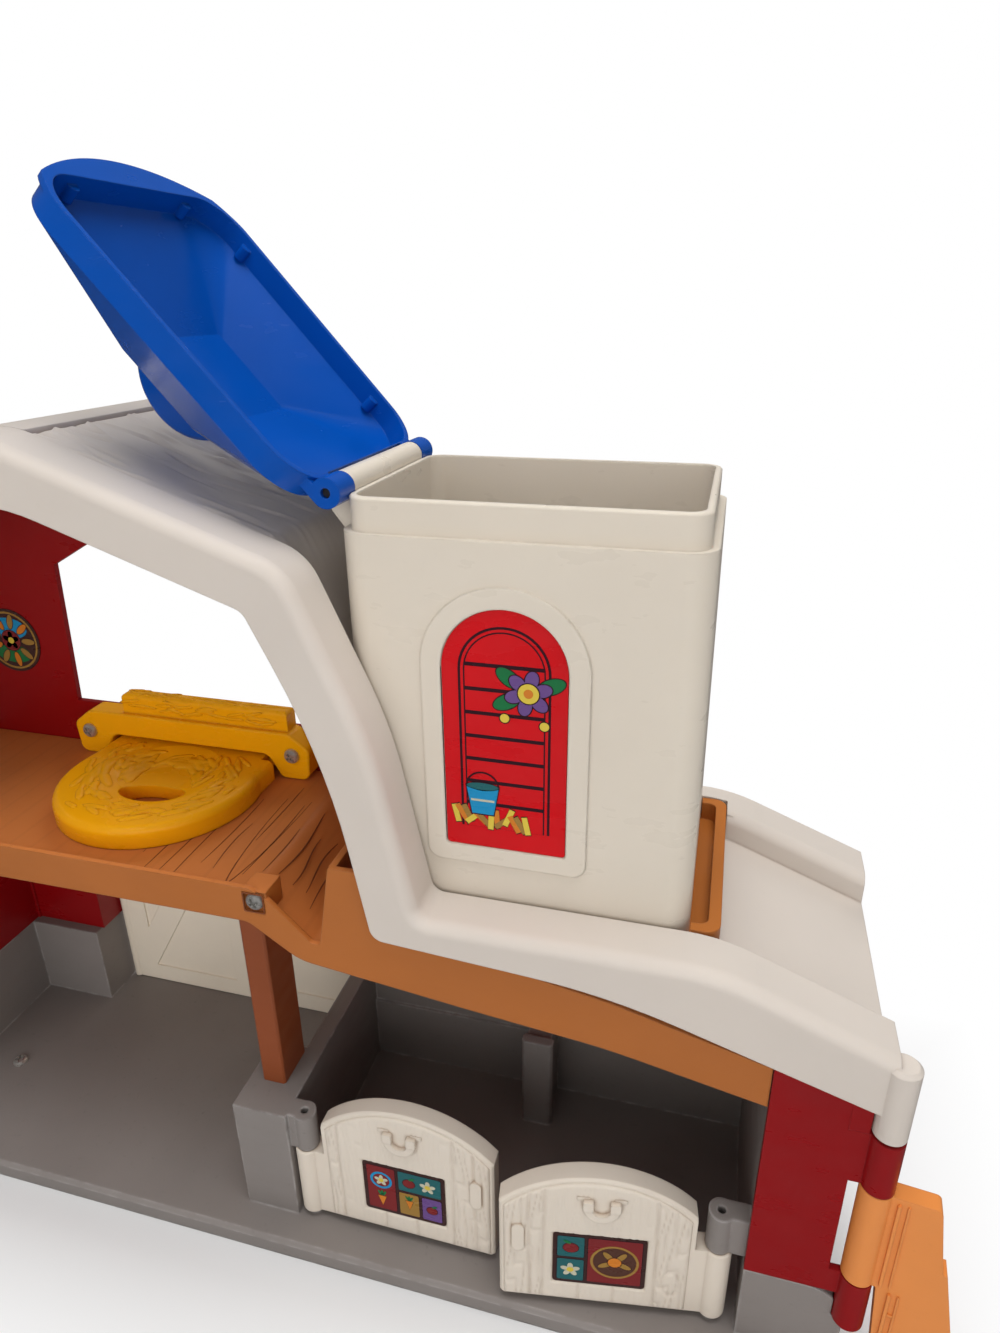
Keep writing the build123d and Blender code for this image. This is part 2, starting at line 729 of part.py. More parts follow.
def silo_outline(inset, low_z, right_draft):
    """The silo's front outline with its left foot shaped to the roof it stands against."""
    right_foot = silo_right_x - inset + right_draft
    column = outline((silo_left_x + inset, low_z), (right_foot, low_z),
                     (silo_right_x - inset, silo_shoulder_z), (silo_left_x + inset, silo_shoulder_z))
    stand_off = recess_depth - slip_gap - inset
    return column - roof_section(stand_off)


def silo_body():
    foot_z = low_roof_z - recess_depth + seat_gap + tray_floor
    tube = slab(silo_outline(0, foot_z, silo_draft), silo_front_y, silo_back_y)
    uprights = []
    for edge in tube.edges():
        middle_x = (edge @ 0.5).X
        rises = abs((edge @ 0).Z - (edge @ 1).Z) > 8 and abs((edge @ 0).Y - (edge @ 1).Y) < 0.01
        if rises and min(abs(middle_x - silo_left_x), abs(middle_x - silo_right_x)) < 2:
            uprights.append(edge)
    tube = fillet(uprights, silo_corner)
    middle = Pos(silo_x, lid_middle_y)
    lip_x = silo_width - 2 * lip_inset
    lip_y = silo_depth - 2 * lip_set
    lip = middle * RectangleRounded(lip_x, lip_y, silo_corner - 1.5)
    body = tube + plate(lip, silo_shoulder_z - 1, silo_top_z)
    body = chamfer(body.faces().sort_by(Axis.Z)[-1].edges(), 0.6)
    bore_face = silo_outline(silo_wall, foot_z - 1, silo_draft)
    bore = slab(bore_face, silo_front_y + silo_wall, silo_back_y - silo_wall)
    bore_edges = []
    for edge in bore.edges():
        if abs((edge @ 0).Y - (edge @ 1).Y) < 0.01 and abs((edge @ 0).Z - (edge @ 1).Z) > 60:
            bore_edges.append(edge)
    bore = fillet(bore_edges, silo_corner - silo_wall)
    body -= bore & block(base_left, base_right, base_front, base_back, 0, inner_ledge_z + 0.01)
    rim_wall = silo_wall - 0.8
    mouth_x = lip_x - 2 * rim_wall
    mouth_y = lip_y - 2 * rim_wall
    throat = middle * RectangleRounded(mouth_x - 2 * inner_ledge, mouth_y - 2 * inner_ledge, 4)
    mouth = middle * RectangleRounded(mouth_x, mouth_y, 5)
    body -= plate(throat, inner_ledge_z - 6, silo_top_z + 1)
    body -= plate(mouth, inner_ledge_z, silo_top_z + 1)
    # hinge bracket and barrel on the left of the mouth
    barrel_front = silo_front_y + lid_knuckle + slip_gap
    barrel_back = silo_back_y - lid_knuckle - slip_gap
    web_left = lid_hinge_x - 3.8
    web_right = silo_left_x + lip_inset + 2
    web = outline(
        (web_left, lid_hinge_z - 1),
        (web_left, silo_shoulder_z + 4, 1),
        (silo_left_x + 0.5, silo_shoulder_z - 4),
        (web_right, silo_shoulder_z - 4),
        (web_right, silo_top_z - 1),
        (lid_hinge_x, silo_top_z - 1),
    )
    body += slab(web, barrel_front, barrel_back)
    body += along_y(lid_hinge_x, lid_hinge_z, lid_barrel_radius - 0.2, barrel_front, barrel_back)
    body -= along_y(lid_hinge_x, lid_hinge_z, pin_radius, barrel_front - 1, barrel_back + 1)
    for y_low, y_high in ((silo_front_y - 1, barrel_front), (barrel_back, silo_back_y + 1)):
        body -= along_y(lid_hinge_x, lid_hinge_z, lid_barrel_radius + slip_gap, y_low, y_high)
    # raised frame of the arched panel
    frame_face = panel_outline(frame_width) - panel_outline(seat_gap)
    body += slab(frame_face, silo_front_y - frame_height, silo_front_y + 0.5)
    return body


def panel_outline(grow):
    """Arched panel on the silo's front, larger by grow all round."""
    half = panel_width / 2 + grow
    top = panel_top_z + grow
    foot = panel_foot_z - grow
    shaft = outline((panel_x - half, foot, 1.2 + grow / 2), (panel_x + half, foot, 1.2 + grow / 2),
                    (panel_x + half, top - half), (panel_x - half, top - half))
    return shaft + Pos(panel_x, top - half) * Circle(half)


def silo_label():
    return slab(panel_outline(0), silo_front_y - label_thickness, silo_front_y)


def lid_shut():
    """The lid as it lies shut on the silo."""
    mouth_z = lid_hinge_z + lid_mouth_rise
    skirt_top = mouth_z + lid_skirt
    crown_z = mouth_z + lid_height
    left_x = lid_hinge_x + lid_lead
    right_x = left_x + lid_length
    middle_x = left_x + lid_length / 2
    middle = Pos(middle_x, lid_middle_y)
    twice = 2 * lid_wall

    # skirt and hipped crown, and the same form one wall smaller inside
    outer = middle * RectangleRounded(lid_length, lid_depth, lid_corner)
    inner = middle * RectangleRounded(lid_length - twice, lid_depth - twice, lid_corner - lid_wall)
    top = middle * RectangleRounded(lid_crown_length, lid_crown_depth, lid_crown_corner)
    inner_top = middle * RectangleRounded(lid_crown_length - twice, lid_crown_depth - twice,
                                          lid_crown_corner - lid_wall)
    shell = plate(outer, mouth_z, skirt_top)
    shell += loft([Plane.XY.offset(skirt_top) * outer, Plane.XY.offset(crown_z) * top], ruled=True)
    inside = plate(inner, mouth_z - 1, skirt_top)
    inside_top_z = crown_z - lid_wall
    inside += loft([Plane.XY.offset(skirt_top) * inner, Plane.XY.offset(inside_top_z) * inner_top],
                   ruled=True)

    # crescent brim along the free edge
    bow = (brim_half ** 2 + brim_reach ** 2) / (2 * brim_reach)
    brim = Pos(right_x + brim_reach - bow, lid_middle_y) * Circle(bow)
    grown = RectangleRounded(lid_length + 2 * brim_reach, lid_depth, brim_corner)
    brim &= middle * grown
    brim &= Pos(right_x, lid_middle_y) * Rectangle(2 * lid_corner + 4, 2 * lid_depth)
    shell += plate(brim, mouth_z, mouth_z + brim_thickness)

    # half disc standing on the crown
    disc_x = middle_x + finial_shift
    disc_front = lid_middle_y - finial_thickness / 2
    disc_back = lid_middle_y + finial_thickness / 2
    disc = along_y(disc_x, crown_z, finial_radius, disc_front, disc_back)
    disc = chamfer(disc.edges(), finial_chamfer)
    disc -= block(disc_x - 2 * finial_radius, disc_x + 2 * finial_radius, disc_front - 1, disc_back + 1,
                  crown_z - 2 * finial_radius, crown_z)
    foot = block(disc_x - finial_radius + 2, disc_x + finial_radius - 2, disc_front + finial_chamfer,
                 disc_back - finial_chamfer, skirt_top, crown_z + 1)
    shell += disc + foot

    # hinge knuckles at both ends of the hinge side
    for y_low in (silo_front_y, silo_back_y - lid_knuckle):
        y_high = y_low + lid_knuckle
        shell += along_y(lid_hinge_x, lid_hinge_z, lid_barrel_radius, y_low, y_high)
        shell += block(lid_hinge_x, left_x + lid_corner, y_low, y_high, lid_hinge_z + 1.2,
                       lid_hinge_z + lid_barrel_radius)
    shell -= inside

    # small pads inside the skirt, near each corner
    edge_y = lid_depth / 2 - lid_wall - 0.4
    pads = [(left_x + away, side * edge_y) for away in (lid_corner + 6, lid_length - lid_corner - 4)
            for side in (-1, 1)]
    pads += [(right_x - lid_wall - 0.4, side * (lid_depth / 2 - lid_corner - 4)) for side in (-1, 1)]
    for pad_x, pad_y in pads:
        shell += upright(pad_x, lid_middle_y + pad_y, nub_radius, skirt_top - nub_height, skirt_top)

    # room for the silo's barrel, and the pin hole
    shell -= along_y(lid_hinge_x, lid_hinge_z, lid_barrel_radius + 0.9, silo_front_y + lid_knuckle,
                     silo_back_y - lid_knuckle)
    shell -= along_y(lid_hinge_x, lid_hinge_z, pin_radius + running_fit, silo_front_y - 5, silo_back_y + 5)
    return shell


def silo_lid():
    """The lid standing open against its stop."""
    hinge = Axis((lid_hinge_x, 0, lid_hinge_z), (0, 1, 0))
    return lid_shut().rotate(hinge, -lid_open_angle)


def lid_pin():
    return along_y(lid_hinge_x, lid_hinge_z, pin_radius, silo_front_y + 1.5, silo_back_y - 1.5)


# ---------------------------------------------------------------- gates
def gate_panel_face(sign):
    """Gate seen from the front, from its hinge side towards its free end (sign gives the way)."""
    edge = gate_barrel_radius + 3
    far = gate_reach
    rise = gate_crown_z - gate_shoulder_z
    half = (far - edge) / 2
    bow = (half ** 2 + rise ** 2) / (2 * rise)
    body = outline(
        (0.0, gate_foot_z),
        (sign * far, gate_foot_z, 2),
        (sign * far, gate_shoulder_z),
        (sign * edge, gate_shoulder_z),
        (sign * edge, gate_barrel_high),
        (0.0, gate_barrel_high),
    )
    crown = Pos(sign * (edge + far) / 2, gate_crown_z - bow) * Circle(bow)
    crown &= Pos(sign * (edge + far) / 2, gate_crown_z) * Rectangle(2 * half, 2 * rise + 1)
    return body + crown


def gate(sign):
    """A gate drawn with its hinge axis on the Z axis; sign is the way it reaches."""
    panel = slab(gate_panel_face(sign), gate_front_set, gate_front_set + gate_thickness)
    front_edges = []
    for edge in panel.edges():
        middle = edge @ 0.5
        if abs(middle.Y - gate_front_set) < 0.01 and abs(middle.X) > gate_barrel_radius + 4:
            front_edges.append(edge)
    panel = chamfer(front_edges, 0.8)
    barrel = upright(0, 0, gate_barrel_radius, gate_foot_z, gate_barrel_high)
    barrel = chamfer(barrel.edges(), 0.6)
    shape = panel + barrel
    shape -= upright(0, 0, gate_barrel_radius + 1.2, gate_barrel_high + 0.01, gate_crown_z)
    # grip near the free end and the raised shoe over the label
    grip = SlotOverall(gate_knob_length, gate_knob_width, rotation=90)
    grip = Pos(sign * (gate_reach - 7), gate_knob_z) * grip
    shape += slab(grip, gate_front_set - 1.4, gate_front_set + 1)
    shape += slab(horseshoe(sign * gate_label_middle, shoe_z), gate_front_set - 1.0, gate_front_set + 1)
    shape -= upright(0, 0, pin_radius + running_fit, 0, gate_crown_z)
    return shape


def horseshoe(x, z):
    """A U-shaped shoe, open upwards, with turned-out heels."""
    ring = Pos(x, z) * (Circle(shoe_radius) - Circle(shoe_radius - 2.6))
    ring &= Pos(x, z - shoe_radius / 2) * Rectangle(3 * shoe_radius, shoe_radius)
    face = ring
    for side in (-1, 1):
        face += Pos(x + side * (shoe_radius - 1.3), z + 2.4) * Rectangle(2.6, 5.2)
        face += Pos(x + side * (shoe_radius - 0.4), z + 4.4) * Rectangle(4.4, 1.8)
    return face


def gate_label(sign):
    middle_x = sign * gate_label_middle
    left_x = middle_x - gate_label_width / 2
    right_x = middle_x + gate_label_width / 2
    low_z = gate_label_z - gate_label_height / 2
    high_z = gate_label_z + gate_label_height / 2
    face = outline((left_x, low_z, 1.5), (right_x, low_z, 1.5), (right_x, high_z, 1.5), (left_x, high_z, 1.5))
    return slab(face, gate_front_set - label_thickness, gate_front_set)


def place_left(shape):
    return Pos(gate_left_hinge_x, gate_hinge_y, 0) * shape


def place_right(shape):
    """Right gate, ajar towards the front."""
    return Pos(gate_right_hinge_x, gate_hinge_y, 0) * Rot(0, 0, gate_ajar) * shape


def gate_pins():
    low_z = base_height - wall
    return Compound([upright(hinge_x, gate_hinge_y, pin_radius, low_z, knuckle_high - 2.5)
                     for hinge_x in (gate_left_hinge_x, gate_right_hinge_x)])


# ---------------------------------------------------------------- barn doors
def door_axis_x(side):
    """Pivot line of a barn door, just inside the doorway's edge."""
    return doorway_x + side * (doorway_half - door_clearance - door_edge_radius)


def door_axis_y():
    return door_front_y + door_thickness / 2


def barn_door(side):
    """side is -1 for the left door and +1 for the right, pivoting at the doorway's edges."""
    axis_x = door_axis_x(side)
    inner = doorway_x + side * 0.3
    low_x, high_x = min(axis_x, inner), max(axis_x, inner)
    low_z = base_height + door_clearance
    high_z = doorway_top_z - door_clearance
    back_y = door_front_y + door_thickness
    leaf = block(low_x, high_x, door_front_y, back_y, low_z, high_z)
    field = window_of(low_x + door_frame, high_x - door_frame, low_z + door_rail, high_z - door_rail)
    sunk = field - brace_face(low_x, high_x, low_z, high_z, side)
    leaf -= slab(sunk, door_front_y - 1, door_front_y + door_relief)
    leaf -= slab(sunk, back_y - door_relief, back_y + 1)
    leaf += upright(axis_x, door_axis_y(), door_edge_radius, low_z, high_z)
    leaf += upright(axis_x, door_axis_y(), door_stub_radius, low_z - door_stub_length,
                    high_z + door_stub_length)
    return leaf


def brace_face(low_x, high_x, low_z, high_z, side):
    """Diagonal board across a door, from its foot at the hinge side to its head at the free side."""
    half = 5.0
    foot_x, head_x = (low_x, high_x) if side < 0 else (high_x, low_x)
    lean = half if side < 0 else -half
    return make_face(Polyline((foot_x - lean, low_z + half), (foot_x + lean, low_z - half),
                              (head_x + lean, high_z - half), (head_x - lean, high_z + half), close=True))


# ---------------------------------------------------------------- fence
def fence_panel():
    """Hollow-backed panel on a long knuckle, standing a little towards the front."""
    hinge_x = fence_hinge_x
    hinge_y = fence_hinge_y
    panel_face = outline(
        (hinge_x + 9.5, fence_bottom_z, 2),
        (hinge_x + fence_reach_bottom, fence_bottom_z, 3),
        (hinge_x + fence_reach_step + 0.8, fence_step_z),
        (hinge_x + fence_reach_step - 0.6, fence_step_z),
        (hinge_x + fence_reach_top, fence_top_z, 2),
        (hinge_x + 2.2, fence_top_z, 1),
    )
    front_y = hinge_y - 2.8
    panel = slab(panel_face, front_y, front_y + fence_thickness)
    panel -= slab(offset(panel_face, amount=-wall), front_y + wall, front_y + fence_thickness + 1)
    panel -= upright(hinge_x, hinge_y, corner_barrel_radius + 1.0, 0, fence_knuckle_low)
    knuckle = upright(hinge_x, hinge_y, corner_barrel_radius, fence_knuckle_low, fence_knuckle_high)
    arm = block(hinge_x, hinge_x + fence_arm, front_y, front_y + wall + 1, fence_knuckle_low, fence_knuckle_high)
    shape = panel + chamfer(knuckle.edges(), 0.5) + arm
    shape -= upright(hinge_x, hinge_y, pin_radius + running_fit, 0, barrel_foot_z)
    return shape.rotate(Axis((hinge_x, hinge_y, 0), (0, 0, 1)), -fence_rest)


def fence_pin():
    return upright(fence_hinge_x, fence_hinge_y, pin_radius, fence_barrel_low + 3.5, barrel_foot_z - 3.5)


# ---------------------------------------------------------------- hay holder
def hay_bracket():
    """Bar on two screwed ears, with a straw ledge along its top."""
    inner = hay_half - hay_ear
    foot_z = loft_floor_z + seat_gap
    left_x = hay_x - hay_half
    right_x = hay_x + hay_half
    shoulder_z = hay_bar_top - hay_shoulder
    face = outline(
        (left_x + 1, foot_z, 4),
        (hay_x - inner - 1, foot_z, 3),
        (hay_x - inner + 5, hay_bar_low, 5),
        (hay_x + inner - 5, hay_bar_low, 5),
        (hay_x + inner + 1, foot_z, 3),
        (right_x - 1, foot_z, 4),
        (right_x, shoulder_z, 4),
        (right_x - 9, hay_bar_top, 5),
        (left_x + 9, hay_bar_top, 5),
        (left_x, shoulder_z, 4),
    )
    back_y = back_wall_y - seat_gap
    bracket = slab(face, hay_front_y, back_y)
    front_edges = [edge for edge in bracket.edges() if abs((edge @ 0.5).Y - hay_front_y) < 0.01]
    bracket = chamfer(front_edges, 0.6)
    straw = block(straw_left_x, straw_right_x, hay_front_y + 2.5, back_y, hay_bar_top - 2, straw_top)
    top_edges = straw.edges().filter_by(Axis.X).group_by(Axis.Z)[-1]
    bracket += fillet(top_edges + straw.edges().filter_by(Axis.Y), 2.0)
    bracket -= along_x(flap_hinge_y, flap_hinge_z, door_stub_radius + stub_fit, hay_x - inner - 6,
                       hay_x + inner + 6)
    for side in (-1, 1):
        bracket -= along_y(hay_x + side * hay_screw_half, hay_screw_z, screw_shank_radius,
                           hay_front_y - 1, back_y + 1)
    return bracket


def hay_flap():
    """Straw ring that tips up on two stubs in the bracket's ears."""
    low_z = loft_floor_z + slip_gap
    high_z = low_z + flap_thickness
    tail_half = hay_half - hay_ear - 7
    tail_back = flap_hinge_y - 1
    wide_back = hay_front_y - 2
    ring = Pos(flap_centre_x, flap_centre_y) * Circle(flap_radius)
    shoulder = Rectangle(2 * flap_radius - 2, wide_back - flap_centre_y)
    ring += Pos(flap_centre_x, (flap_centre_y + wide_back) / 2) * shoulder
    ring &= Pos(flap_centre_x, wide_back - flap_radius * 2) * Rectangle(4 * flap_radius, 4 * flap_radius)
    pad = plate(ring, low_z, high_z)
    front_rim = []
    for edge in pad.faces().sort_by(Axis.Z)[-1].edges():
        if (edge @ 0.5).Y < wide_back - 1:
            front_rim.append(edge)
    pad = fillet(front_rim, 3.0)
    pad += block(hay_x - tail_half, hay_x + tail_half, flap_centre_y, tail_back, low_z, high_z)
    # shallow dish and the hole in the middle of the straw
    dish_low = high_z - flap_dish_depth
    dish = Pos(flap_centre_x, flap_centre_y, dish_low + (flap_dish_depth + 1) / 2) * Cone(
        flap_dish_radius - 14, flap_dish_radius + 14.0 / flap_dish_depth, flap_dish_depth + 1)
    pad -= dish
    hole = Pos(flap_hole_x, flap_hole_y) * Ellipse(flap_hole_half, flap_hole_half / 2)
    pad -= plate(hole, low_z - 1, high_z + 1)
    pad += along_x(flap_hinge_y, flap_hinge_z, flap_barrel_radius, hay_x - tail_half, hay_x + tail_half)
    stub = hay_half - hay_ear + 4
    pad += along_x(flap_hinge_y, flap_hinge_z, door_stub_radius, hay_x - stub, hay_x + stub)
    return pad


def hay_screws():
    places = [hay_x + side * hay_screw_half for side in (-1, 1)]
    return Compound([screw_along_y(x, hay_screw_z, hay_front_y) for x in places])


def wall_label():
    disc = Pos(label_disc_x, label_disc_z) * Circle(label_disc_radius)
    return slab(disc, back_wall_y - label_thickness, back_wall_y)


# ---------------------------------------------------------------- write the pieces
os.makedirs("parts", exist_ok=True)
write("base_tray", base_tray())
write("base_screw", base_screw())
write("end_wall_left", end_wall_left())
write("end_wall_right", end_wall_right())
write("back_wall", back_wall())
write("wall_label", wall_label())
write("roof", roof())
write("loft_deck", loft_deck())
write("loft_screws", loft_screws())
write("loft_post", loft_post())
write("silo_tray", silo_tray())
write("silo_body", silo_body())
write("silo_label", silo_label())
write("silo_lid", silo_lid())
write("lid_pin", lid_pin())
write("stall_gate_left", place_left(gate(1)))
write("stall_gate_right", place_right(gate(-1)))
write("gate_label_left", place_left(gate_label(1)))
write("gate_label_right", place_right(gate_label(-1)))
write("gate_pins", gate_pins())
write("barn_door_left", barn_door(-1))
write("barn_door_right", barn_door(1))
write("fence_panel", fence_panel())
write("fence_pin", fence_pin())
write("hay_bracket", hay_bracket())
write("hay_flap", hay_flap())
write("hay_screws", hay_screws())
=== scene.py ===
import math
import random
import bmesh
import bpy
from mathutils import Matrix, Vector


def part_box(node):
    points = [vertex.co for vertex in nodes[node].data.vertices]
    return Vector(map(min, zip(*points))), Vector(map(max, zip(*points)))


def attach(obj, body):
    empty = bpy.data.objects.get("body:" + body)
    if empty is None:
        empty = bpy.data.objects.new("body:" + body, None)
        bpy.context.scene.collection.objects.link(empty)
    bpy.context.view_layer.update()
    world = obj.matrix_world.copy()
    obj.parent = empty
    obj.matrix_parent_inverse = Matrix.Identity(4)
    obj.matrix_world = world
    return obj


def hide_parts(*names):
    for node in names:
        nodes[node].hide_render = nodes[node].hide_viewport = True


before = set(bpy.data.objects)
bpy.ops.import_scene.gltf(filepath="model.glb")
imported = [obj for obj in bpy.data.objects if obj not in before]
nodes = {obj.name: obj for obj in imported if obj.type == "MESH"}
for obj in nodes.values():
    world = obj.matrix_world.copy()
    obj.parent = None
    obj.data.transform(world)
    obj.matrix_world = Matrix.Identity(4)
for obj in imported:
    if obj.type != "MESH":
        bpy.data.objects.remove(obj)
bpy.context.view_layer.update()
print("stage: frame loaded,", len(nodes), "nodes")


# camera: stands in front, a little right of the middle, and looks down to the left
cameraSetup = {
    "place": (0.142, -0.260, 0.360),
    "turnLeft": 15.2,
    "lookDown": 23.0,
    "roll": -0.6,
    "lens": 23.28,
}


def setCamera(setup):
    turn = math.radians(setup["turnLeft"])
    down = math.radians(setup["lookDown"])
    roll = math.radians(setup["roll"])
    ahead = Vector((-math.sin(turn) * math.cos(down), math.cos(turn) * math.cos(down), -math.sin(down)))
    level = Vector((math.cos(turn), math.sin(turn), 0))
    upright = level.cross(ahead)
    right = level * math.cos(roll) + upright * math.sin(roll)
    up = upright * math.cos(roll) - level * math.sin(roll)
    data = bpy.data.cameras.new("camera")
    data.lens = setup["lens"]
    data.sensor_width = 36
    data.clip_start = 0.01
    camera = bpy.data.objects.new("camera", data)
    bpy.context.scene.collection.objects.link(camera)
    turned = Matrix((right, up, -ahead)).transposed().to_4x4()
    camera.matrix_world = Matrix.Translation(setup["place"]) @ turned
    bpy.context.scene.camera = camera


setCamera(cameraSetup)
bpy.context.scene.view_settings.view_transform = "Standard"
print("stage: camera set")


# material helpers
def newTree(name):
    material = bpy.data.materials.new(name)
    material.use_nodes = True
    tree = material.node_tree
    return material, tree, tree.nodes["Principled BSDF"]


def add(tree, kind):
    return tree.nodes.new(kind)


def noise(tree, place, scale, detail=2.0, rough=0.5):
    spots = add(tree, "ShaderNodeTexNoise")
    spots.inputs["Scale"].default_value = scale
    spots.inputs["Detail"].default_value = detail
    spots.inputs["Roughness"].default_value = rough
    tree.links.new(place, spots.inputs["Vector"])
    return spots.outputs["Fac"]


def span(tree, value, low, high, fromLow=0.0, fromHigh=1.0):
    node = add(tree, "ShaderNodeMapRange")
    node.inputs["From Min"].default_value = fromLow
    node.inputs["From Max"].default_value = fromHigh
    node.inputs["To Min"].default_value = low
    node.inputs["To Max"].default_value = high
    tree.links.new(value, node.inputs["Value"])
    return node.outputs["Result"]


def calc(tree, operation, first, second):
    node = add(tree, "ShaderNodeMath")
    node.operation = operation
    for socket, value in zip(node.inputs, (first, second)):
        if isinstance(value, (int, float)):
            socket.default_value = value
        else:
            tree.links.new(value, socket)
    return node.outputs["Value"]


def blendColours(tree, factor, first, second):
    node = add(tree, "ShaderNodeMix")
    node.data_type = "RGBA"
    sockets = [s for s in node.inputs if s.type == "RGBA"]
    for socket, value in zip(sockets, (first, second)):
        if isinstance(value, tuple):
            socket.default_value = (*value, 1)
        else:
            tree.links.new(value, socket)
    tree.links.new(factor, node.inputs["Factor"])
    return [s for s in node.outputs if s.type == "RGBA"][0]


def bumpUp(tree, height, strength, distance, under=None):
    node = add(tree, "ShaderNodeBump")
    node.inputs["Strength"].default_value = strength
    node.inputs["Distance"].default_value = distance
    tree.links.new(height, node.inputs["Height"])
    if under is not None:
        tree.links.new(under, node.inputs["Normal"])
    return node.outputs["Normal"]


def objectPlace(tree, stretch=(1, 1, 1)):
    coordinate = add(tree, "ShaderNodeTexCoord")
    mapping = add(tree, "ShaderNodeMapping")
    mapping.inputs["Scale"].default_value = stretch
    tree.links.new(coordinate.outputs["Object"], mapping.inputs["Vector"])
    return mapping.outputs["Vector"]


def softEdges(tree, reach):
    # the normal, rounded over the last bit before an edge, and a mask of that bit
    rounded = add(tree, "ShaderNodeBevel")
    rounded.samples = 4
    rounded.inputs["Radius"].default_value = reach
    geometry = add(tree, "ShaderNodeNewGeometry")
    dot = add(tree, "ShaderNodeVectorMath")
    dot.operation = "DOT_PRODUCT"
    tree.links.new(rounded.outputs["Normal"], dot.inputs[0])
    tree.links.new(geometry.outputs["Normal"], dot.inputs[1])
    return rounded.outputs["Normal"], span(tree, dot.outputs["Value"], 1, 0, 0.80, 0.985)


def scaled(colour, factor, lift=0.0):
    factors = factor if isinstance(factor, tuple) else (factor,) * 3
    return tuple(min(1, c * f + lift) for c, f in zip(colour, factors))


# what a plastic has where its own look says nothing: the shares of 1 are shade, dirt, grime, the painted
# shade in the lows of the relief, the edge wear with painted highlight and soft; edge is the width in metres
# of the paler edges, which are partly worn and partly painted highlight, and a further share says how much
# paler they are; patch and grain are noise scales, and sink and texture are the strengths of the large and
# the fine bump
commonLook = {
    "shade": 0.05, "patch": 22, "dirt": 0.10, "grime": 0.10, "paintedLowShade": 0.0, "edge": 0.0007, "edgeWearAndHighlight": 0.3,
    "wornAndHighlit": 0.06, "sink": 0.2, "grain": 1500, "texture": 0.06, "soft": 0.0, "ior": 1.41,
}
# noise scales of the marks, their colours as shares of the plastic's own (the crevice colour is painted
# shade, the edge colour pale wear and painted highlight), and the depths of the two bumps
marks = {
    "speck": 420, "grime": 9, "wornAndHighlitNoise": 130, "smear": 55, "sink": 42,
    "speckTint": 0.55, "grimeTint": (0.80, 0.74, 0.68), "paintedLowShadeTint": (0.55, 0.45, 0.38), "wornAndHighlitTint": 1.25,
    "paintedLowShadeReach": 0.0016, "sinkDepth": 0.0006, "grainDepth": 0.0002, "scatter": (0.004, 0.003, 0.002),
}


def mouldedPlastic(name, look):
    look = {**commonLook, **look}
    material, tree, shader = newTree(name)
    place = objectPlace(tree)
    colour = look["colour"]
    patches = span(tree, noise(tree, place, look["patch"], 3), 0, 1, 0.3, 0.7)
    tint = blendColours(tree, patches, scaled(colour, 1 - look["shade"]), scaled(colour, 1 + look["shade"]))
    specks = span(tree, noise(tree, place, marks["speck"], 3), 0, look["dirt"], 0.64, 0.80)
    tint = blendColours(tree, specks, tint, scaled(colour, marks["speckTint"]))
    grime = span(tree, noise(tree, place, marks["grime"], 4, 0.6), 0, look["grime"], 0.48, 0.78)
    tint = blendColours(tree, grime, tint, scaled(colour, marks["grimeTint"]))
    if look["paintedLowShade"]:
        # painted shade: the lows of the moulded relief are darkened by ambient occlusion
        shadeOcclusion = add(tree, "ShaderNodeAmbientOcclusion")
        shadeOcclusion.samples = 6
        shadeOcclusion.inputs["Distance"].default_value = marks["paintedLowShadeReach"]
        low = span(tree, shadeOcclusion.outputs["AO"], look["paintedLowShade"], 0, 0.35, 0.95)
        tint = blendColours(tree, low, tint, scaled(colour, marks["paintedLowShadeTint"]))
    # paler edges: partly worn plastic, partly painted highlight along the edges
    under, edge = softEdges(tree, look["edge"])
    wornAndHighlit = span(tree, noise(tree, place, marks["wornAndHighlitNoise"], 3), 0.1, 1.0, 0.38, 0.62)
    wornAndHighlit = calc(tree, "MULTIPLY", calc(tree, "MULTIPLY", edge, wornAndHighlit), look["edgeWearAndHighlight"])
    tint = blendColours(tree, wornAndHighlit, tint, scaled(colour, marks["wornAndHighlitTint"], look["wornAndHighlit"]))
    tree.links.new(tint, shader.inputs["Base Color"])
    rough = look["rough"]
    smear = noise(tree, objectPlace(tree, (1, 1, 3)), marks["smear"], 4)
    tree.links.new(span(tree, smear, rough - 0.05, rough + 0.09, 0.3, 0.7), shader.inputs["Roughness"])
    bumped = bumpUp(tree, noise(tree, place, marks["sink"], 1), look["sink"], marks["sinkDepth"], under)
    grain = noise(tree, place, look["grain"], 2)
    bumped = bumpUp(tree, grain, look["texture"], marks["grainDepth"], bumped)
    tree.links.new(bumped, shader.inputs["Normal"])
    shader.inputs["IOR"].default_value = look["ior"]
    shader.inputs["Subsurface Weight"].default_value = look["soft"]
    shader.inputs["Subsurface Radius"].default_value = marks["scatter"]
    shader.inputs["Subsurface Scale"].default_value = 1.0
    return material, tree, shader, bumped, tint
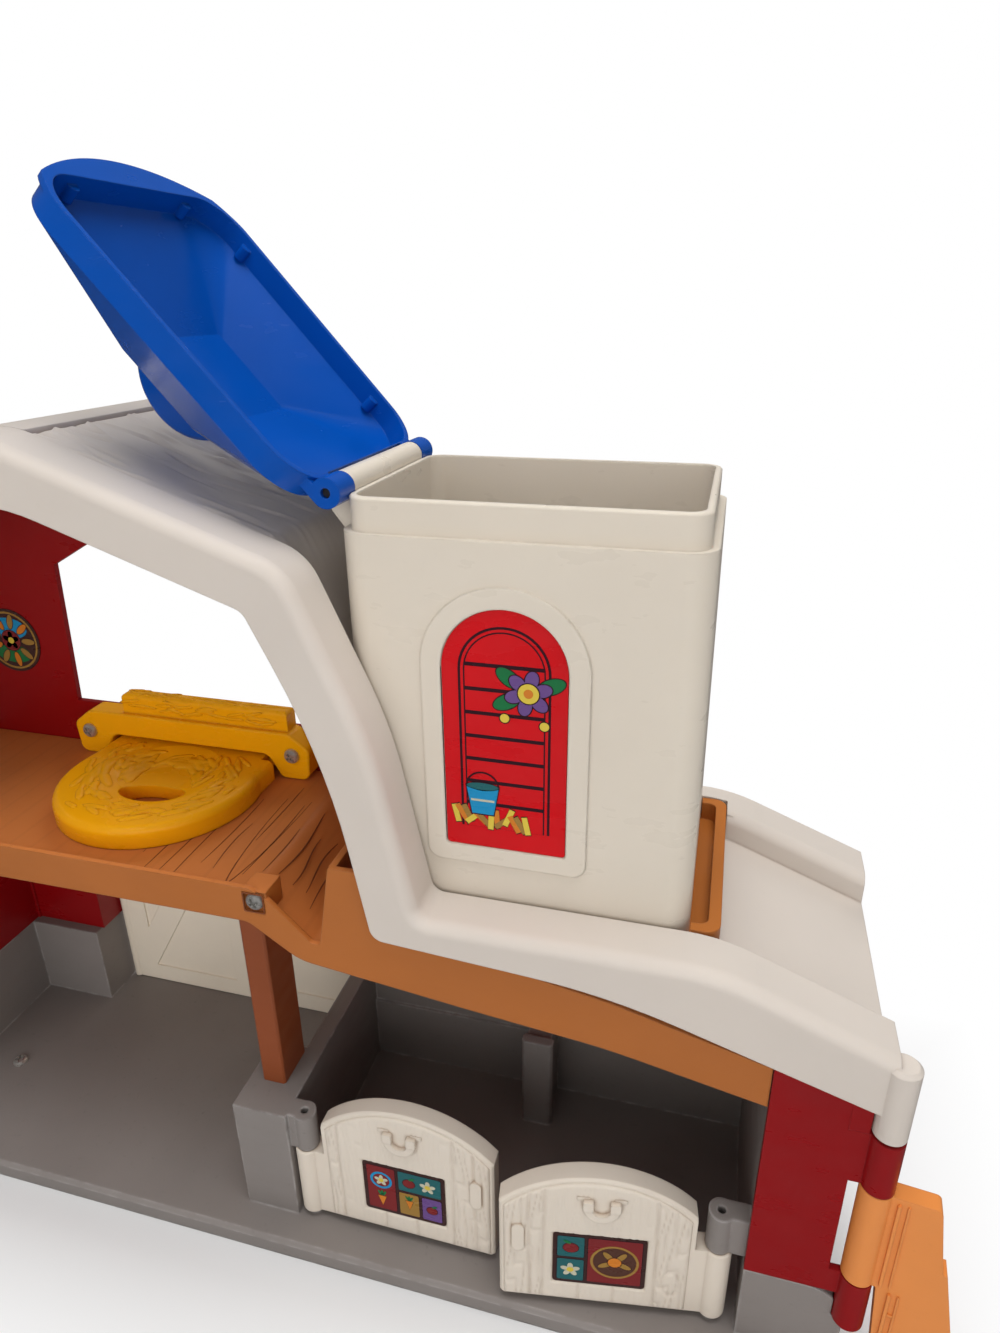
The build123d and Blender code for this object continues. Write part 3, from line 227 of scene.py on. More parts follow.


# in these looks the crevice value is painted shade, and the paler edges are partly wear and partly painted
# highlight
plastics = {
    "roofWhite": {"colour": (0.62, 0.555, 0.495), "rough": 0.33, "paintedLowShade": 0.5, "shade": 0.02, "soft": 0.04,
                  "dirt": 0.04, "edgeWearAndHighlight": 0.35, "wornAndHighlit": 0.08, "sink": 0.12},
    "siloWhite": {"colour": (0.68, 0.610, 0.515), "rough": 0.30, "shade": 0.02, "soft": 0.04, "dirt": 0.04,
                  "edgeWearAndHighlight": 0.5, "edge": 0.0011, "wornAndHighlit": 0.10, "sink": 0.12},
    "gateWhite": {"colour": (0.72, 0.64, 0.545), "rough": 0.40, "paintedLowShade": 0.9, "shade": 0.03, "soft": 0.04,
                  "grime": 0.2, "edgeWearAndHighlight": 0.15},
    # the doors' white is painted paler than the other whites: painted light for the light that reaches them
    # from behind
    "doorWhitePaintedLit": {"colour": (0.90, 0.80, 0.65), "rough": 0.40, "shade": 0.03, "grime": 0.2, "edgeWearAndHighlight": 0.1},
    "lidBlue": {"colour": (0.001, 0.070, 0.385), "rough": 0.20, "ior": 1.38, "dirt": 0.05, "grime": 0.05,
                "edgeWearAndHighlight": 0.35},
    "wallRed": {"colour": (0.265, 0.002, 0.004), "rough": 0.30, "shade": 0.04, "dirt": 0.02, "grime": 0.05,
                "edgeWearAndHighlight": 0.25, "sink": 0.06},
    "baseGrey": {"colour": (0.245, 0.218, 0.203), "rough": 0.50, "texture": 0.16, "dirt": 0.3, "grime": 0.2,
                 "edgeWearAndHighlight": 0.9, "edge": 0.0016, "wornAndHighlit": 0.22},
    "postBrown": {"colour": (0.27, 0.066, 0.020), "rough": 0.42, "shade": 0.06},
    "fasciaOrange": {"colour": (0.42, 0.135, 0.026), "rough": 0.42, "edgeWearAndHighlight": 0.4},
    "fenceOrange": {"colour": (0.76, 0.262, 0.062), "rough": 0.42, "shade": 0.04, "edgeWearAndHighlight": 0.4},
    "hayYellow": {"colour": (0.96, 0.42, 0.003), "rough": 0.24, "paintedLowShade": 0.5, "soft": 0.06, "grime": 0.08,
                  "edgeWearAndHighlight": 0.4},
}


# brown-orange deck: brighter and redder on its top than on its upright faces, which is painted light, with
# faint grain
deckLook = {
    "colour": (0.42, 0.130, 0.024), "top": (0.60, 0.195, 0.050), "line": (0.25, 0.072, 0.022),
    "rough": 0.44, "edgeWearAndHighlight": 0.55, "edge": 0.0010,
    "paintedLitTopShare": 0.8, "mottle": 1.12, "lineShare": 0.10, "lineBump": -0.12, "lineDepth": 0.0004,
    "waves": {"Scale": 30, "Distortion": 4.0, "Detail": 2.0, "Detail Scale": 0.7},
}


def deckPlastic(name, look):
    material, tree, shader, bumped, tint = mouldedPlastic(name, look)
    geometry = add(tree, "ShaderNodeNewGeometry")
    split = add(tree, "ShaderNodeSeparateXYZ")
    tree.links.new(geometry.outputs["Normal"], split.inputs["Vector"])
    # painted light: faces that look up are blended towards the brighter top colour
    upper = span(tree, split.outputs["Z"], 0, 1, 0.6, 0.8)
    spots = noise(tree, objectPlace(tree), 30, 4)
    paintedLitTop = blendColours(tree, spots, look["top"], scaled(look["top"], look["mottle"]))
    tint = blendColours(tree, calc(tree, "MULTIPLY", upper, look["paintedLitTopShare"]), tint, paintedLitTop)
    wave = add(tree, "ShaderNodeTexWave")
    wave.wave_type = "BANDS"
    wave.bands_direction = "X"
    for socketName, value in look["waves"].items():
        wave.inputs[socketName].default_value = value
    tree.links.new(objectPlace(tree, (1, 0.25, 0.25)), wave.inputs["Vector"])
    line = calc(tree, "MULTIPLY", span(tree, wave.outputs["Fac"], 1, 0, 0.0, 0.10), upper)
    tint = blendColours(tree, calc(tree, "MULTIPLY", line, look["lineShare"]), tint, look["line"])
    tree.links.new(tint, shader.inputs["Base Color"])
    lowered = bumpUp(tree, line, look["lineBump"], look["lineDepth"], bumped)
    tree.links.new(lowered, shader.inputs["Normal"])
    return material


# bright steel of the screws, and the steel of the hinge pins, painted dark to stand for the shade in the
# holes of their knuckles
steelLooks = {
    "steel": {"dark": (0.34, 0.32, 0.29), "pale": (0.86, 0.84, 0.80)},
    "pinSteelPaintedShade": {"dark": (0.05, 0.045, 0.04), "pale": (0.12, 0.11, 0.10)},
}


def metal(name, look):
    material, tree, shader = newTree(name)
    place = objectPlace(tree)
    smear = noise(tree, place, 700, 3)
    tree.links.new(blendColours(tree, smear, look["dark"], look["pale"]), shader.inputs["Base Color"])
    tree.links.new(span(tree, smear, 0.20, 0.40), shader.inputs["Roughness"])
    tree.links.new(bumpUp(tree, noise(tree, place, 1800, 2), 0.15, 0.0001), shader.inputs["Normal"])
    shader.inputs["Metallic"].default_value = 0.75
    return material


# colours of the printed films
filmColours = {
    "filmRed": (0.58, 0.002, 0.006), "filmDark": (0.050, 0.022, 0.020), "filmBrown": (0.085, 0.035, 0.024),
    "filmLine": (0.030, 0.008, 0.014), "filmYellow": (0.66, 0.50, 0.06), "filmOrange": (0.60, 0.19, 0.02),
    "filmGreen": (0.012, 0.16, 0.05), "filmBlue": (0.010, 0.25, 0.50), "filmPurple": (0.14, 0.07, 0.24),
    "filmTeal": (0.020, 0.12, 0.13), "filmPale": (0.52, 0.50, 0.38), "filmGold": (0.32, 0.18, 0.04),
    "filmMaroon": (0.20, 0.020, 0.022),
}
filmLook = {
    "rough": 0.28, "texture": 0.02, "dirt": 0.08, "edgeWearAndHighlight": 0.0, "sink": 0.05, "edge": 0.0002, "ior": 1.36,
}
# the same dark finish also makes the painted shade of the loft screws' pockets
lineAndPocketShadeLook = {"colour": deckLook["line"], "rough": 0.5, "edgeWearAndHighlight": 0.0}  # pressed lines of the deck

finishes = {name: mouldedPlastic(name, look)[0] for name, look in plastics.items()}
finishes["deckOrange"] = deckPlastic("deckOrange", deckLook)
finishes.update({name: metal(name, look) for name, look in steelLooks.items()})
finishes["deckLineAndPocketShade"] = mouldedPlastic("deckLineAndPocketShade", lineAndPocketShadeLook)[0]
for filmName, filmColour in filmColours.items():
    finishes[filmName] = mouldedPlastic(filmName, {**filmLook, "colour": filmColour})[0]

nodeFinish = {
    "base_tray": "baseGrey", "base_screw": "steel", "end_wall_left": "wallRed", "end_wall_right": "wallRed",
    "back_wall": "wallRed", "wall_label": "filmDark", "roof": "roofWhite", "loft_deck": "deckOrange",
    "loft_screws": "steel", "loft_post": "postBrown", "silo_tray": "fasciaOrange", "silo_body": "siloWhite",
    "silo_label": "filmRed", "silo_lid": "lidBlue", "lid_pin": "pinSteelPaintedShade", "stall_gate_left": "gateWhite",
    "stall_gate_right": "gateWhite", "gate_label_left": "filmDark", "gate_label_right": "filmDark",
    "gate_pins": "pinSteelPaintedShade", "barn_door_left": "doorWhitePaintedLit", "barn_door_right": "doorWhitePaintedLit",
    "fence_panel": "fenceOrange", "fence_pin": "pinSteelPaintedShade", "hay_bracket": "hayYellow",
    "hay_flap": "hayYellow", "hay_screws": "steel",
}
for nodeName, finishName in nodeFinish.items():
    for materialSlot in nodes[nodeName].material_slots:
        materialSlot.material = finishes[finishName]
print("stage: materials on the moulded pieces")


# mesh helpers: every piece of this script is drawn in millimetres and set into the frame in metres
def toMetres(form):
    bmesh.ops.recalc_face_normals(form, faces=form.faces)
    bmesh.ops.scale(form, vec=(0.001, 0.001, 0.001), verts=form.verts)


def addObject(name, form):
    mesh = bpy.data.meshes.new(name)
    form.to_mesh(mesh)
    form.free()
    made = bpy.data.objects.new(name, mesh)
    bpy.context.scene.collection.objects.link(made)
    return made


def finishPiece(name, form, finish, body, smooth=False):
    toMetres(form)
    piece = addObject(name, form)
    piece.data.materials.append(finishes[finish])
    for polygon in piece.data.polygons:
        polygon.use_smooth = smooth
    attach(piece, body)
    return piece


def joinRings(form, first, second):
    # a wall of faces between two rings that have the same number of points
    for i in range(len(first)):
        j = (i + 1) % len(first)
        form.faces.new((first[i], first[j], second[j], second[i]))


def addTube(form, rings):
    # closed tube through rings of points
    for first, second in zip(rings, rings[1:]):
        joinRings(form, first, second)
    form.faces.new(rings[0])
    form.faces.new(list(reversed(rings[-1])))


def addPrism(form, points, low, high, put):
    # closed flat plate: the points lie in the face, and low and high are heights over it
    addTube(form, [[form.verts.new(put(u, v, h)) for u, v in points] for h in (low, high)])


def addBand(form, outer, inner, low, high, put):
    # closed band between two outlines that have the same number of points
    rings = [[form.verts.new(put(u, v, h)) for u, v in line]
             for line, h in ((outer, low), (outer, high), (inner, high), (inner, low))]
    for k in range(4):
        joinRings(form, rings[k], rings[(k + 1) % 4])


def addSheet(form, grid):
    # faces between the lines of a grid of points; what comes back is the ring round its edge
    sheet = [[form.verts.new(point) for point in line] for line in grid]
    columns, rows = len(sheet) - 1, len(sheet[0]) - 1
    for i in range(columns):
        for j in range(rows):
            form.faces.new((sheet[i][j], sheet[i + 1][j], sheet[i + 1][j + 1], sheet[i][j + 1]))
    ring = [sheet[i][0] for i in range(columns)] + [sheet[columns][j] for j in range(rows)]
    return ring + [sheet[i][rows] for i in range(columns, 0, -1)] + [sheet[0][j] for j in range(rows, 0, -1)]


def turned(u, v, x, y, turn):
    # the point that lies at x, y from u, v along axes turned by an angle
    return u + x * math.cos(turn) - y * math.sin(turn), v + x * math.sin(turn) + y * math.cos(turn)


def oval(u, v, halfU, halfV=None, turn=0.0, count=28):
    halfV = halfU if halfV is None else halfV
    angles = [2 * math.pi * k / count for k in range(count)]
    return [turned(u, v, halfU * math.cos(a), halfV * math.sin(a), turn) for a in angles]


def bar(u, v, length, width, turn=0.0):
    corners = ((-1, -1), (1, -1), (1, 1), (-1, 1))
    return [turned(u, v, x * length / 2, y * width / 2, turn) for x, y in corners]


def roundedBox(uLow, uHigh, vLow, vHigh, radius, steps=5):
    points = []
    corners = ((uHigh - radius, vLow + radius, -90), (uHigh - radius, vHigh - radius, 0),
               (uLow + radius, vHigh - radius, 90), (uLow + radius, vLow + radius, 180))
    for u, v, start in corners:
        for k in range(steps + 1):
            a = math.radians(start + 90 * k / steps)
            points.append((u + radius * math.cos(a), v + radius * math.sin(a)))
    return points


def archLine(middle, half, foot, spring, steps=24):
    points = [(middle - half, foot), (middle + half, foot)]
    for k in range(steps + 1):
        a = math.pi * k / steps
        points.append((middle + half * math.cos(a), spring + half * math.sin(a)))
    return points


class Artwork:
    # flat shapes grouped by colour, so that each colour of a label is one piece
    def __init__(self, put):
        self.put = put
        self.forms = {}

    def form(self, finish):
        return self.forms.setdefault(finish, bmesh.new())

    def shape(self, finish, points, low, high):
        addPrism(self.form(finish), points, low, high, self.put)

    def outlined(self, finish, points, low, high, edge=0.35):
        # the shape on a slightly larger dark one
        u = sum(p[0] for p in points) / len(points)
        v = sum(p[1] for p in points) / len(points)
        grown = []
        for p in points:
            away = math.hypot(p[0] - u, p[1] - v) or 1
            grown.append((u + (p[0] - u) * (away + edge) / away, v + (p[1] - v) * (away + edge) / away))
        self.shape("filmLine", grown, low - 0.02, high - 0.02)
        self.shape(finish, points, low, high)

    def ring(self, finish, outer, inner, low, high):
        addBand(self.form(finish), outer, inner, low, high, self.put)

    def finish(self, prefix, body, slotName):
        for finish, form in self.forms.items():
            finishPiece(prefix + finish[4:], form, finish, body)


# layers printed on the silo's label, lowest first: each is its foot and its top over the label
shutterLayers = {
    "slat": (-0.02, 0.035), "frame": (-0.02, 0.04), "straw": (0.05, 0.07), "behind": (0.05, 0.08),
    "handle": (0.05, 0.10),
    "petal": (0.09, 0.12), "pail": (0.11, 0.14), "front": (0.13, 0.16), "eye": (0.14, 0.18),
}

# printed shutter on the silo: slats, a flower in one corner and a pail on straw in the other
shutterArt = {
    "face": -30.7, "middle": 80.9, "foot": 201.5, "spring": 257.2, "half": 14.6,
    "frames": ((0.0, 0.8), (1.7, 0.45)),
    "slats": 7, "firstSlat": 210.5, "slatGap": 8.1, "slatWidth": 1.25, "slatInset": 2.0,
}
flowerLook = {
    "place": (88.5, 251.0), "leafTurns": (0.4, 2.5, 3.6), "leafAway": 7.6, "leaf": (4.6, 2.4),
    "petals": 6, "firstPetal": 0.3, "petalAway": 4.6, "petal": (3.0, 2.1), "heart": 3.3, "eye": 1.5,
    "berries": ((-7.5, -9.0), (5.0, -10.5)), "berry": 1.5,
}
pailLook = {
    "place": (73.5, 212.0), "footHalf": 3.6, "topHalf": 5.4, "foot": -5.5, "top": 4.8, "edge": 0.5,
    "mouth": (5.3, 1.3), "stripe": (7.8, 0.8), "stripeDrop": -0.4, "handle": (5.6, 5.0), "handleFoot": 4.6,
    "straws": 13, "firstStraw": -9.0, "strawGap": 1.95, "straw": (6.6, 1.9), "strawDrop": -7.2,
    "strawLean": 0.9, "strawLift": (-1.2, 1.6), "seed": 5,
}
rimLook = {"half": 20.1, "width": 1.2, "foot": 193.6, "face": -30.3, "height": 0.75}


def drawFlower(art, look):
    u, v = look["place"]
    for turn in look["leafTurns"]:
        leaf = oval(*turned(u, v, look["leafAway"], 0, turn), *look["leaf"], turn)
        art.outlined("filmGreen", leaf, *shutterLayers["behind"])
    for k in range(look["petals"]):
        turn = 2 * math.pi * k / look["petals"] + look["firstPetal"]
        petal = oval(*turned(u, v, look["petalAway"], 0, turn), *look["petal"], turn)
        art.outlined("filmPurple", petal, *shutterLayers["petal"])
    art.outlined("filmYellow", oval(u, v, look["heart"]), *shutterLayers["front"])
    art.shape("filmOrange", oval(u, v, look["eye"]), *shutterLayers["eye"])
    for du, dv in look["berries"]:
        art.outlined("filmYellow", oval(u + du, v + dv, look["berry"]), *shutterLayers["behind"])


def drawPail(art, look):
    u, v = look["place"]
    draw = random.Random(look["seed"])
    low, high = shutterLayers["straw"]
    for k in range(look["straws"]):
        turn = math.pi / 2 + draw.uniform(-look["strawLean"], look["strawLean"])
        strawU = u + look["firstStraw"] + look["strawGap"] * k
        strawV = v + look["strawDrop"] + draw.uniform(*look["strawLift"])
        colour = ("filmYellow", "filmOrange", "filmGold")[k % 3]
        # each straw lies a little higher than the last
        art.outlined(colour, bar(strawU, strawV, *look["straw"], turn), low, high + 0.002 * k)
    foot, top = v + look["foot"], v + look["top"]
    footHalf, topHalf = look["footHalf"], look["topHalf"]
    body = [(u - footHalf, foot), (u + footHalf, foot), (u + topHalf, top), (u - topHalf, top)]
    art.outlined("filmBlue", body, *shutterLayers["pail"], look["edge"])
    art.outlined("filmTeal", oval(u, top, *look["mouth"]), *shutterLayers["front"])
    art.shape("filmPale", bar(u, v + look["stripeDrop"], *look["stripe"]), *shutterLayers["front"])
    level = v + look["handleFoot"]
    outer, inner = [oval(u, level, reach, count=32) for reach in look["handle"]]
    outer = [(a, max(b, level)) for a, b in outer]
    inner = [(a, max(b, level - 0.01)) for a, b in inner]
    art.ring("filmLine", outer, inner, *shutterLayers["handle"])


def makeShutterArt(look):
    art = Artwork(lambda u, v, h: Vector((u, look["face"] - h, v)))
    middle, half = look["middle"], look["half"]
    for inset, wide in look["frames"]:
        outer = archLine(middle, half - inset, look["foot"], look["spring"])
        inner = archLine(middle, half - inset - wide, look["foot"] + 0.01, look["spring"])
        art.ring("filmLine", outer, inner, *shutterLayers["frame"])
    for k in range(look["slats"]):
        v = look["firstSlat"] + k * look["slatGap"]
        rise = max(0.0, v - look["spring"])
        reach = math.sqrt(max(0.0, (half - look["slatInset"]) ** 2 - rise ** 2))
        art.shape("filmLine", bar(middle, v, 2 * reach, look["slatWidth"]), *shutterLayers["slat"])
    drawFlower(art, flowerLook)
    drawPail(art, pailLook)
    art.finish("shutter", "barn", "label_silo")


def makeShutterRim(look, label):
    # slim raised rim of the silo round its label
    form = bmesh.new()
    width = look["width"]
    outer = archLine(label["middle"], look["half"] + width, look["foot"] - width, label["spring"])
    inner = archLine(label["middle"], look["half"], look["foot"], label["spring"])
    addBand(form, outer, inner, -0.2, look["height"], lambda u, v, h: Vector((u, look["face"] - h, v)))
    finishPiece("shutterRim", form, "siloWhite", "barn")


makeShutterArt(shutterArt)
makeShutterRim(rimLook, shutterArt)
print("stage: silo label")


# the two gates: where their fronts are, and the printed tiles on them. Tiles and pictures are placed from
# the label's middle: a tile is its colour, its two sides and its foot and top, a picture its place and size
gateArt = {
    "middle": 42.15, "height": 35.5, "face": -3.9, "halfWidth": 17.0, "halfHeight": 13.5,
    "hinge": {"left": (0.3, -42.3), "right": (162.0, -42.3)}, "ajar": {"left": 0.0, "right": 8.9},
    "way": {"left": 1, "right": -1},
    "tiles": {
        "left": (("filmMaroon", -15.4, -3.6, -12.0, 12.0), ("filmTeal", -2.2, 15.4, 1.6, 12.0),
                 ("filmGold", -2.2, 6.0, -12.0, 0.2), ("filmPurple", 7.4, 15.4, -12.0, 0.2)),
        "right": (("filmTeal", -15.4, -5.6, 1.0, 12.0), ("filmTeal", -15.4, -5.6, -12.0, -0.4),
                  ("filmMaroon", -4.2, 15.4, -12.0, 12.0)),
    },
    "pictures": {
        "left": (("daisy", -9.5, 4.5, 2.6), ("carrot", -9.5, -6.0, 3.0), ("apple", 2.2, 6.2, 2.5),
                 ("daisy", 10.0, 6.6, 3.0), ("carrot", 2.0, -5.2, 2.7), ("apple", 11.4, -6.2, 2.2)),
        "right": (("apple", -10.5, 6.0, 2.8), ("daisy", -10.5, -6.2, 3.3)),
    },
    "hoop": {"place": (-9.5, 4.5), "outer": 4.6, "inner": 3.5},
    "wheel": {"place": (5.6, 0.0), "outer": 8.9, "inner": 7.9, "disc": 7.8, "hub": 2.5,
              "leafTurns": (0.9, 2.24, 3.6, 5.8), "leafAway": 3.8, "leaf": (2.9, 1.2)},
}
gateLayers = {
    "tileEdge": (-0.02, 0.03), "tile": (0.0, 0.05), "disc": (0.04, 0.06), "ring": (0.05, 0.09),
    "picture": (0.07, 0.10), "leaf": (0.08, 0.11), "heart": (0.08, 0.12), "hub": (0.09, 0.12),
}


def onGate(side):
    # place on a gate's front: u runs from its hinge, v is height, h stands out of the film
    hingeX, hingeY = gateArt["hinge"][side]
    turn = math.radians(gateArt["ajar"][side])
    way = gateArt["way"][side]

    def put(u, v, h):
        return Vector((*turned(hingeX, hingeY, way * u, gateArt["face"] - h, turn), v))
    return put


def tile(art, colour, uLow, uHigh, vLow, vHigh):
    edge = 0.3
    border = roundedBox(uLow - edge, uHigh + edge, vLow - edge, vHigh + edge, 0.8)
    art.shape("filmLine", border, *gateLayers["tileEdge"])
    art.shape(colour, roundedBox(uLow, uHigh, vLow, vHigh, 0.6), *gateLayers["tile"])


def apple(art, u, v, size):
    art.outlined("filmMaroon", oval(u, v, size, size * 0.9), *gateLayers["picture"], 0.25)
    leaf = oval(u + size * 0.5, v + size * 1.1, size * 0.55, size * 0.25, 0.5)
    art.shape("filmGreen", leaf, *gateLayers["leaf"])


def carrot(art, u, v, size):
    root = [(u, v - size * 1.3), (u + size * 0.6, v + size * 0.5), (u - size * 0.6, v + size * 0.5)]
    art.outlined("filmOrange", root, *gateLayers["picture"], 0.25)
    for turn in (1.1, 1.57, 2.05):
        leafU, leafV = u + size * 0.7 * math.cos(turn), v + size * 0.5 + size * 0.6 * math.sin(turn)
        art.shape("filmGreen", oval(leafU, leafV, size * 0.5, size * 0.18, turn), *gateLayers["picture"])


def daisy(art, u, v, size):
    petals = 5
    for k in range(petals):
        turn = 2 * math.pi * k / petals + 0.3
        petal = oval(*turned(u, v, size * 0.62, 0, turn), size * 0.5, size * 0.32, turn)
        art.shape("filmPale", petal, *gateLayers["picture"])
    art.shape("filmYellow", oval(u, v, size * 0.4), *gateLayers["heart"])


pictures = {"apple": apple, "carrot": carrot, "daisy": daisy}


def makeGateArt(side, look):
    art = Artwork(onGate(side))
    way, middle, height = look["way"][side], look["middle"], look["height"]
    for colour, left, right, low, high in look["tiles"][side]:
        near, far = sorted((middle + way * left, middle + way * right))
        tile(art, colour, near, far, height + low, height + high)
    if side == "left":
        hoop = look["hoop"]
        u, v = middle + way * hoop["place"][0], height + hoop["place"][1]
        art.ring("filmBlue", oval(u, v, hoop["outer"]), oval(u, v, hoop["inner"]), *gateLayers["ring"])
    else:
        wheel = look["wheel"]
        u, v = middle + way * wheel["place"][0], height + wheel["place"][1]
        outer, inner, disc = [oval(u, v, wheel[key], count=40) for key in ("outer", "inner", "disc")]
        art.ring("filmGold", outer, inner, *gateLayers["ring"])
        art.shape("filmBrown", disc, *gateLayers["disc"])
        for turn in wheel["leafTurns"]:
            leaf = oval(*turned(u, v, wheel["leafAway"], 0, turn), *wheel["leaf"], turn)
            art.outlined("filmGold", leaf, *gateLayers["picture"], 0.25)
        art.outlined("filmOrange", oval(u, v, wheel["hub"]), *gateLayers["hub"], 0.3)
    for kind, x, rise, size in look["pictures"][side]:
        pictures[kind](art, middle + way * x, height + rise, size)
    art.finish(side + "GateArt", side + "_gate", "label_gate")


for gateSide in ("left", "right"):
    makeGateArt(gateSide, gateArt)
print("stage: gate labels")


# round label on the back wall: a ring of leaves between sky and grass, with a daisy in the middle
wallArt = {
    "face": 42.6, "middle": -176.0, "height": 216.5, "outer": 14.2, "inner": 13.2,
    "sky": (6.0, 10.0, 5.2), "grass": (-6.6, 9.6, 4.4), "leaves": 9, "leafAway": 9.4, "leaf": (3.6, 1.5),
    "disc": 5.0, "daisy": 4.0,
}
wallLayers = {
    "ring": (0.0, 0.05), "sky": (0.0, 0.03), "grass": (0.0, 0.035),
    "leaf": (0.05, 0.09), "disc": (0.06, 0.10),
}


def makeWallArt(look):
    art = Artwork(lambda u, v, h: Vector((u, look["face"] - h, v)))
    u, v = look["middle"], look["height"]
    outer, inner = [oval(u, v, look[key], count=48) for key in ("outer", "inner")]
    art.ring("filmGold", outer, inner, *wallLayers["ring"])
    for colour, key in (("filmBlue", "sky"), ("filmGreen", "grass")):
        rise, halfU, halfV = look[key]
        art.shape(colour, oval(u, v + rise, halfU, halfV), *wallLayers[key])
    for k in range(look["leaves"]):
        turn = 2 * math.pi * k / look["leaves"]
        leaf = oval(*turned(u, v, look["leafAway"], 0, turn), *look["leaf"], turn)
        art.outlined("filmOrange" if k % 2 else "filmGold", leaf, *wallLayers["leaf"])
    art.outlined("filmMaroon", oval(u, v, look["disc"]), *wallLayers["disc"])
    daisy(art, u, v, look["daisy"])
    art.finish("wallArt", "barn", "label_wall")


makeWallArt(wallArt)
print("stage: wall label")


# boards moulded into the gates' faces: one closed skin with joints between the boards and wavy grain on them
boardLook = {
    "near": 10.0, "far": 77.4, "foot": 12.4, "shoulder": 60.6, "crown": 76.0, "step": 0.5,
    "height": 0.80, "low": 0.04, "rim": 1.0, "behindLabel": 0.4, "sunk": 0.3,
    "underLabel": 0.05, "labelGap": 0.25, "labelFall": 0.9, "labelLeast": 0.15,
    "joints": {"left": (15.2, 62.6, 71.6), "right": (9.8, 21.8, 62.9, 68.0)},
    "jointWidth": 0.55, "jointDepth": 0.72, "jointLean": 0.012, "upright": 35,
    "footJoints": {"left": (33.5, 47.0), "right": (36.5, 49.6)}, "footJointDepth": 0.62,
    "grainGap": 3.1, "grainWidth": 0.42, "grainDepth": 0.48, "calmBoards": 0.35,
    "waves": ((1.5, 8.5, 0.0, 0.35), (0.9, 4.1, 1.3, 0.8)),  # sideways reach, length, start, change across
    "knot": {"side": "right", "u": 16.0, "v": 27.0, "tall": 2.2, "radius": 3.0, "width": 0.4, "depth": 0.4},
}


def groove(away, width, depth):
    return depth * math.exp(-(away / width) ** 2)


def boardHeight(u, v, side, look, label):
    labelU, labelV, halfU, halfV = label
    away = max(abs(u - labelU) - halfU, abs(v - labelV) - halfV)
    if away < look["labelGap"]:
        return look["underLabel"]
    height = look["height"]
    joints = look["joints"][side]
    for k, joint in enumerate(joints):
        lean = look["jointLean"] * (v - look["upright"]) * (1 if k % 2 else -1)
        height -= groove(u - joint - lean, look["jointWidth"], look["jointDepth"])
    if v < labelV - halfV - 0.5:
        for joint in look["footJoints"][side]:
            height -= groove(u - joint, look["jointWidth"], look["footJointDepth"])
    # grain is strongest on the outer boards
    strong = 1.0 if u < joints[-3] or u > joints[-2] else look["calmBoards"]
    bend = sum(reach * math.sin(v / length + start + change * u)
               for reach, length, start, change in look["waves"])
    phase = (u + bend) / look["grainGap"]
    near = abs(phase - round(phase)) * look["grainGap"]
    height -= strong * groove(near, look["grainWidth"], look["grainDepth"])
    knot = look["knot"]
    ring = math.hypot(u - knot["u"], (v - knot["v"]) / knot["tall"]) - knot["radius"]
    if side == knot["side"] and abs(ring) < 3 * knot["width"]:
        height -= groove(ring, knot["width"], knot["depth"])
    return max(look["low"], height) * min(1.0, away / look["labelFall"] + look["labelLeast"])


def gateFrontGrid(side, look, put):
    # lines of points up the front, from one edge to the other under the arched top
    label = (gateArt["middle"], gateArt["height"], gateArt["halfWidth"], gateArt["halfHeight"])
    half = (look["far"] - look["near"]) / 2
    rise = look["crown"] - look["shoulder"]
    bow = (half ** 2 + rise ** 2) / (2 * rise)
    columns = int(2 * half / look["step"])
    rows = int((look["crown"] - look["foot"]) / look["step"])
    grid = []
    for i in range(columns + 1):
        u = look["near"] + 2 * half * i / columns
        top = look["crown"] - bow + math.sqrt(bow ** 2 - (u - look["near"] - half) ** 2)
        line = []
        for j in range(rows + 1):
            v = look["foot"] + (top - look["foot"]) * j / rows
            rim = min(i, columns - i, j, rows - j) * look["step"]
            height = boardHeight(u, v, side, look, label) * min(1.0, rim / look["rim"])
            line.append(put(u, v, height - look["behindLabel"]))
        grid.append(line)
    return grid


def makeBoards(side, look):
    put = onGate(side)
    form = bmesh.new()
    ring = addSheet(form, gateFrontGrid(side, look, put))
    inward = put(0, 0, 0) - put(0, 0, look["sunk"])
    back = [form.verts.new(vert.co + inward) for vert in ring]
    joinRings(form, ring, back)
    form.faces.new(back)
    name = "gateBoards" + side.capitalize()
    finishPiece(name, form, "gateWhite", side + "_gate", smooth=True)


# raised horseshoe, open at the top, with a square block at each end
shoeLook = {
    "u": 42.15, "v": 65.2, "outer": 6.3, "inner": 3.3, "low": 0.2, "high": 2.0, "steps": 16,
    "blockHalf": 1.85, "blockFoot": -0.6, "blockTop": 3.6, "blockHigh": 2.25, "blockRound": 0.6,
}


def makeShoe(side, look):
    put = onGate(side)
    form = bmesh.new()
    angles = [math.pi + math.pi * k / look["steps"] for k in range(look["steps"] + 1)]
    outer, inner = [[turned(look["u"], look["v"], radius, 0, a) for a in angles]
                    for radius in (look["outer"], look["inner"])]
    addPrism(form, outer + list(reversed(inner)), look["low"], look["high"], put)
    for way in (-1, 1):
        middle = look["u"] + way * (look["outer"] + look["inner"]) / 2
        left, right = middle - look["blockHalf"], middle + look["blockHalf"]
        foot, top = look["v"] + look["blockFoot"], look["v"] + look["blockTop"]
        block = roundedBox(left, right, foot, top, look["blockRound"], 3)
        addPrism(form, block, look["low"], look["blockHigh"], put)
    finishPiece("gateShoe" + side.capitalize(), form, "gateWhite", side + "_gate")


for gateSide in ("left", "right"):
    makeBoards(gateSide, boardLook)
    makeShoe(gateSide, shoeLook)
print("stage: gate boards")


